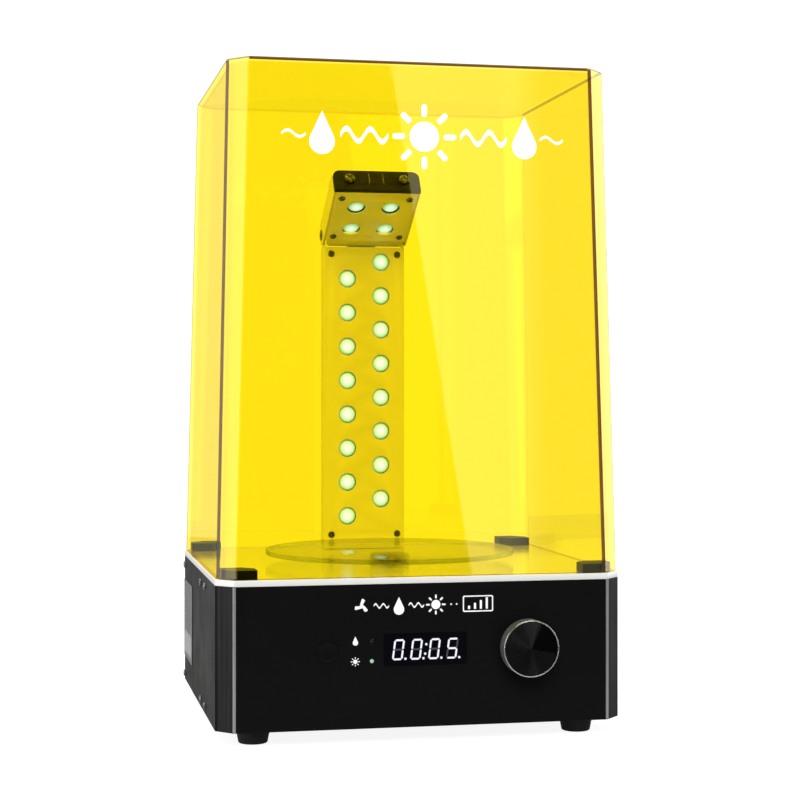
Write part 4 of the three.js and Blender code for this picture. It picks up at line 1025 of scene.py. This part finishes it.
def add_turntable():
    """The clear disc, its polished rim tinted darker as painted shade, and its hub in the same darker tint
    with a hexagonal socket.
    """
    spot = shift(0, middle("turntable_disc").y, 0)
    disc = round_plate("turntable_disc", 0.6, 0.6, 144)
    rim_start = high("turntable_disc").x - 0.9
    for polygon in disc.polygons:
        polygon.material_index = 1 if polygon.center.xy.length > rim_start else 0
    finishes = [CLEAR, CLEAR_EDGE]
    place("turntable_disc_clear", disc, spot, "turntable", "clear_acrylic", finishes, ["turntable_disc"])
    across_flats, socket_depth, base = 10.6, 3.7, low("turntable_hub").z
    socket = circle(across_flats / 2 / math.cos(math.pi / 6), steps=6)
    hub = carved(round_plate("turntable_hub", 0.5, 0.3, 72), slab(socket, base - 1, base + socket_depth))
    place("turntable_hub_clear", hub, spot, "turntable", "clear_acrylic", CLEAR_EDGE, ["turntable_hub"])


# ---- lamp column and head

LENS_HOLE = 7.25
LENS_RADIUS = 7.0
LENS_HEIGHT = 3.7
LENS_BACK = 0.1  # from the plate's face to the lens tip
LENS_X = 14.0
LENS_PITCH = 27.9
TOP_LENS = 236.3
SHEET = 1.2
CORNER_X = 27.5
COLUMN_LAMPS = [  # staggered, the right one of each row half a pitch above the left one
    (LENS_X * (1 - 2 * k), TOP_LENS - LENS_PITCH * (row + k / 2)) for row in range(8) for k in (0, 1)
]
COLUMN_CORNERS = [(side * CORNER_X, z) for z in (242.7, 12.0) for side in (-1, 1)]
HEAD_LAMPS = [(side * LENS_X, reach) for reach in (20, 48) for side in (-1, 1)]
HEAD_CORNERS = [(side * CORNER_X, reach) for reach in (10.5, 60) for side in (-1, 1)]


def lens_dome():
    """A domed lens on Z = 0 that remembers how far each point is from its axis."""
    rows = 10
    dome = [(0, 0), (LENS_RADIUS, 0), (LENS_RADIUS, 0.6)]
    for k in range(rows + 1):
        angle = math.pi / 2 * k / rows
        dome.append((LENS_RADIUS * math.cos(angle) * 0.97, 0.7 + (LENS_HEIGHT - 0.7) * math.sin(angle)))
    mesh = lathe(dome, 48)
    reach = mesh.attributes.new("reach", "FLOAT", "POINT")
    for vertex, value in zip(mesh.vertices, reach.data):
        value.value = min(1.0, math.hypot(vertex.co.x, vertex.co.y) / LENS_RADIUS)
    return mesh


def add_lenses(name, spots, matrix, body, strip, node):
    """Lenses behind a plate's holes, with the clear strip that carries them."""
    back = -LENS_BACK - LENS_HEIGHT
    dome = lens_dome()
    domes = joined([copied(dome, shift(x, y, back)) for x, y in spots])
    place(f"{name}_domes", domes, matrix, body, "lamp_lens", LENS_GLOW, [node])
    carrier = slab(strip, back - 0.8, back - 0.02, bevel=0.15)
    place(f"{name}_strip", carrier, matrix, body, "lamp_lens")


def lamp_plate(outline, lamps, screws):
    """A lamp plate with round lamp windows and screw holes, its face on Z = 0."""
    holes = [circle(LENS_HOLE, x, y, 56) for x, y in lamps] + [circle(1.8, x, y, 24) for x, y in screws]
    return slab(outline, -SHEET, 0.0, holes, 0.2)


def add_column():
    """The column's front plate, lenses and corner screws."""
    base, top = low("column_plate").z - DECK_TOP, high("column_plate").z - DECK_TOP
    outline = rectangle(2 * high("column_plate").x, top - base, 0, (top + base) / 2, 0.8)
    plate = lamp_plate(outline, COLUMN_LAMPS, COLUMN_CORNERS)
    place("column_plate_fine", plate, COLUMN, "base", "lamp_metal", replaces=["column_plate"])
    strip = rectangle(46, 224, 0, 132, 2)
    add_lenses("column_lens", COLUMN_LAMPS, COLUMN, "base", strip, "column_lenses")
    add_screws("column_screws", SMALL_SCREW, COLUMN, COLUMN_CORNERS, "base", sink=0.6)


def add_head():
    """The lamp head's plate, lenses, end cap and screws, all drawn level about the hinge."""
    half, far, near, ear_x, notch = high("head_plate").x, HEAD_LENGTH - 0.3, -1.0, 31.7, 4.6
    tab_left, tab_right, tab_reach = -13.8, 9.8, -5.0
    outline = rounded([
        (half, far, 0.8), (-half, far, 0.8), (-half, notch, 0.4), (-ear_x, notch, 0), (-ear_x, near, 0.5),
        (tab_left, near, 0), (tab_left, tab_reach, 0.8), (tab_right, tab_reach, 0.8), (tab_right, near, 0),
        (ear_x, near, 0.5), (ear_x, notch, 0), (half, notch, 0.4),
    ])
    plate = lamp_plate(outline, HEAD_LAMPS, HEAD_CORNERS)
    place("head_plate_fine", plate, HEAD_UNDERSIDE, "lamp_head", "lamp_metal", replaces=["head_plate"])
    strip = rectangle(46, 44, 0, 34, 2)
    add_lenses("head_lens", HEAD_LAMPS, HEAD_UNDERSIDE, "lamp_head", strip, "head_lenses")
    add_screws("head_screws", SMALL_SCREW, HEAD_UNDERSIDE, HEAD_CORNERS, "lamp_head", sink=0.6)
    gasket = slab(rectangle(60, 3.4, 0, 0.7, 0.3), HEAD_BOTTOM + 0.1, HEAD_BOTTOM + 3.4)
    place("head_gasket", gasket, HEAD, "lamp_head", "lamp_metal")
    add_end_cap()
    add_hinge_bolts()


def add_hinge_bolts():
    """Low bolt heads on either side of the head, with their shanks through the column's ears."""
    size = high("hinge_bolt_right") - low("hinge_bolt_right")
    shank, shank_end, radius, proud = 2.0, 2 - size.x, size.z / 2 - 1, 0.9
    bolt = turned([(0, shank_end, 0), (shank, shank_end, 0.3), (shank, 0, 0), (radius, 0, 0),
                   (radius, proud, 0.5), (0, proud, 0)], 40)
    bolt = carved(bolt, slab(circle(1.9, steps=6), 0.1, proud + 1))
    for name, side in SIDES:
        node = f"hinge_bolt_{name}"
        matrix = shift(side * high("head_shell").x, HINGE.y, HINGE.z) @ FACES[name]
        place(f"{node}_fine", bolt.copy(), matrix, "base", "screw_black", replaces=[node])


def add_end_cap():
    """The black end cap with rounded upper corners, fine ribs and two bright inlaid lines."""
    half, corner, rib_pitch, rib_z = high("head_end_cap").x, 6.0, 2.1, 2.6
    outline = rounded([(-half, HEAD_BOTTOM, 0.6), (half, HEAD_BOTTOM, 0.6), (half, HEAD_TOP, corner),
                       (-half, HEAD_TOP, corner)], step=8)
    cap = slab(outline, -CAP_THICKNESS, -0.5, bevel=0.5)
    ribs = [slab(rectangle(0.9, 10.5, -15 + rib_pitch * k, rib_z, 0.2), -0.8, -0.1) for k in range(15)]
    moulding = joined([cap, *ribs])
    place("end_cap_moulding", moulding, HEAD_END, "lamp_head", "plastic_black", replaces=["head_end_cap"])
    lines = [slab(rectangle(0.4, 11, x, rib_z, 0.1), -0.6, 0.0) for x in (-6.2, 5.2)]
    place("end_cap_lines", joined(lines), HEAD_END, "lamp_head", "screw_black")
    nodes = ["end_cap_screw_left", "end_cap_screw_right"]
    add_screws("end_cap_screws", LARGE_SCREW, HEAD_END, [(-22, 2), (22, 2)], "lamp_head", nodes, twist=45)


# ---- sides and back

SIDE_SCREWS = [(80, 104), (111, 104), (240, 105), (80, 17), (111, 17), (240, 17)]  # from front and floor


def add_side_details():
    """Six screws on each side, and the blank fields of the rating plate."""
    wall, front = high("side_panel_right").x, low("side_panel_left").y
    for name, side in SIDES:
        matrix = shift(side * wall, 0, 0) @ FACES[name]
        places = [(side * (front + y), z) for y, z in SIDE_SCREWS]
        add_screws(f"side_screws_{name}", SMALL_SCREW, matrix, places, "base", [f"side_screw_{name}"])
    corner = low("rating_plate")
    matrix = shift(corner.x, middle("rating_plate").y, corner.z) @ LEFT
    tall = high("rating_plate").z - corner.z
    dark = label_ink("label field", 500, 0.07, 0.13)
    rows = []
    for k in range(8):
        short = 9 * (k % 3)
        rows.append(rectangle(52 - short, 1.1, -3 - short / 2, tall - 7 - 3.6 * k, 0.2))
    ink_marks("label_fields", rows, matrix, "base", "label_grey", dark, 0.03)
    pale = label_ink("label block", 200, 0.26, 0.34)
    block = rectangle(54, 17, 0, 13, 0.6)
    ink_marks("label_block", [block], matrix, "base", "label_grey", pale, 0.03)


def add_rear_details():
    """Screws round the rear panel."""
    edge_x, inset = 126.0, 6.0
    low_z, high_z = low("rear_panel").z + inset, high("rear_panel").z - inset
    places = [(side * edge_x, z) for z in (low_z, high_z) for side in (-1, 1)] + [(0, high_z)]
    add_screws("rear_screws", SMALL_SCREW, REAR, places, "base")


def add_bottom_screws():
    """Screws round the bottom plate."""
    matrix = shift(0, 0, low("bottom_plate").z) @ DOWN
    places = [(x, y) for x in (-60, 60) for y in (-100, 108)]
    add_screws("bottom_screws", SMALL_SCREW, matrix, places, "base", sink=0.4)


# ---- carried-over nodes

SOFT_EDGES = {"top_deck": 0.5, "side_panel_left": 0.5, "side_panel_right": 0.5, "fascia_panel": 0.35,
              "column_channel": 0.3, "head_shell": 0.35, "power_rocker": 0.5, "switch_frame": 0.5}
PLAIN_EDGE = 0.25


def dress_frame():
    """Gives each CAD node its finish and rounds its edges."""
    for name, node in NODES.items():
        slot = node.material_slots[0].material.name
        node.material_slots[0].material = FINISHES[slot]
        soften(node, SOFT_EDGES.get(name, PLAIN_EDGE))


def light_deck_edge():
    """The deck's bright cut edge, as a thin band round its four sides and cut corners."""
    proud, width, below = 0.06, 0.6, 0.25
    deck_low, deck_high = low("top_deck"), high("top_deck")
    plan = cut_plan(deck_high.x, deck_low.y, deck_high.y, *CORNER_CUT)
    outer, inner = drawn_in(plan, -proud), drawn_in(plan, width)
    band = slab(outer, deck_low.z - below, deck_high.z + proud, [inner], 0.2)
    place("deck_edge_band", band, AS_DRAWN, "base", "deck_bright", bright_edge())


# ---- stage

CAMERA_PLACE = (-0.2788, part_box("fascia_panel")[0].y - 1.2562, 0.2499)
CAMERA_TURN = -11.74
CAMERA_LENS = 82.5
CAMERA_SHIFT_Y = -0.01725
BACKDROP = 1.18  # the world's brightness to the camera
LIGHTS_AIM = (0, 0, 0.25)


def add_camera():
    data = bpy.data.cameras.new("camera")
    data.sensor_width = 36
    data.lens = CAMERA_LENS
    data.shift_y = CAMERA_SHIFT_Y
    camera = new_object("camera", data)
    camera.location = CAMERA_PLACE
    camera.rotation_euler = (math.radians(90), 0, math.radians(CAMERA_TURN))
    bpy.context.scene.camera = camera


def add_softbox(name, location, size, radiance):
    """A rectangular light that faces the machine, with the brightness of its surface given."""
    data = bpy.data.lights.new(name, "AREA")
    data.shape = "RECTANGLE"
    data.size, data.size_y = size
    data.energy = radiance * math.pi * size[0] * size[1]
    lamp = new_object(name, data)
    aim = (Vector(LIGHTS_AIM) - Vector(location)).to_track_quat("-Z", "Y").to_matrix().to_4x4()
    lamp.matrix_world = Matrix.Translation(location) @ aim
    lamp.visible_camera = False
    return lamp


def add_world():
    """White to the camera; for lighting and reflections, bright behind and nearly dark in front."""
    world = bpy.data.worlds.new("studio")
    bpy.context.scene.world = world
    world.use_nodes = True
    tree = world.node_tree
    tree.nodes.clear()
    direction = add_node(tree, "ShaderNodeTexCoord").outputs["Generated"]
    backward = add_node(tree, "ShaderNodeSeparateXYZ", {0: direction}).outputs["Y"]
    ends = {"From Min": -0.45, "From Max": 0.35, "To Min": 0.02, "To Max": 1.0}
    fade = add_node(tree, "ShaderNodeMapRange", {"Value": backward, **ends}, interpolation_type="SMOOTHSTEP")
    studio, backdrop = [
        add_node(tree, "ShaderNodeBackground", {"Color": WHITE, "Strength": strength}).outputs[0]
        for strength in (fade.outputs["Result"], BACKDROP)
    ]
    seen = add_node(tree, "ShaderNodeLightPath").outputs["Is Camera Ray"]
    mixed = add_node(tree, "ShaderNodeMixShader", {0: seen, 1: studio, 2: backdrop}).outputs[0]
    add_node(tree, "ShaderNodeOutputWorld", {"Surface": mixed})


def stage_mesh(name, corners, finish):
    """A flat face that belongs to the stage, not to the machine."""
    mesh = bpy.data.meshes.new(name)
    mesh.from_pydata(corners, [], [range(len(corners))])
    mesh.materials.append(finish.material)
    obj = new_object(name, mesh)
    return obj


def add_floor():
    """A pale round floor that the camera sees evenly lit, with only a soft shadow."""
    radius, ahead = 1.1, 0.7
    finish = Finish("floor", grey(0.25), 0.9, Specular_IOR_Level=0.1, Emission_Color=WHITE)
    seen = finish.add("ShaderNodeLightPath").outputs["Is Camera Ray"]
    finish.drive("Emission Strength", finish.span(seen, 0.2, 0.9, 0, 1))
    finish.rough(finish.grain(3), 0.85, 0.95)
    below = 0.0003  # under the feet
    stage_mesh("floor", [(x, y, -below) for x, y in circle(radius, 0, ahead, 96)], finish)


def add_reflection_card():
    """A bright card beside the camera and hidden from it, whose reflection slants across the cover."""
    finish = Finish("card", grey(0.0), 1.0, Emission_Color=WHITE)
    sides = finish.add("ShaderNodeSeparateXYZ", {0: finish.place}).outputs["X"]
    finish.drive("Emission Strength", finish.span(sides, 1.75, 0.6, 0.41, 0.46))
    bottom, top, far = -0.05, 0.9, 1.1
    corners = [(0.211, top), (0.358, bottom), (far, bottom), (far, top)]
    card = stage_mesh("card", [(x, CAMERA_PLACE[1], z) for x, z in corners], finish)
    card.visible_camera = False


def add_lights():
    add_softbox("left", (-1.7, -0.25, 0.6), (1.4, 1.6), 2.6)
    add_softbox("right", (1.7, 0.5, 0.6), (1.4, 1.6), 1.8)
    add_softbox("top", (0, -0.1, 1.9), (1.5, 1.5), 2.0)
    fill = add_softbox("fill", (-0.2, -1.7, 1.5), (1.5, 1.5), 9.5)
    fill.visible_glossy = False
    add_reflection_card()


add_camera()
dress_frame()
add_cover()
add_cover_print()
add_display()
add_fascia_print()
add_indicators()
add_edge_lines()
add_knob()
add_button()
add_feet()
add_turntable()
add_column()
add_head()
add_side_details()
add_rear_details()
add_bottom_screws()
light_deck_edge()
add_world()
add_floor()
add_lights()
bpy.context.scene.view_settings.view_transform = "Standard"
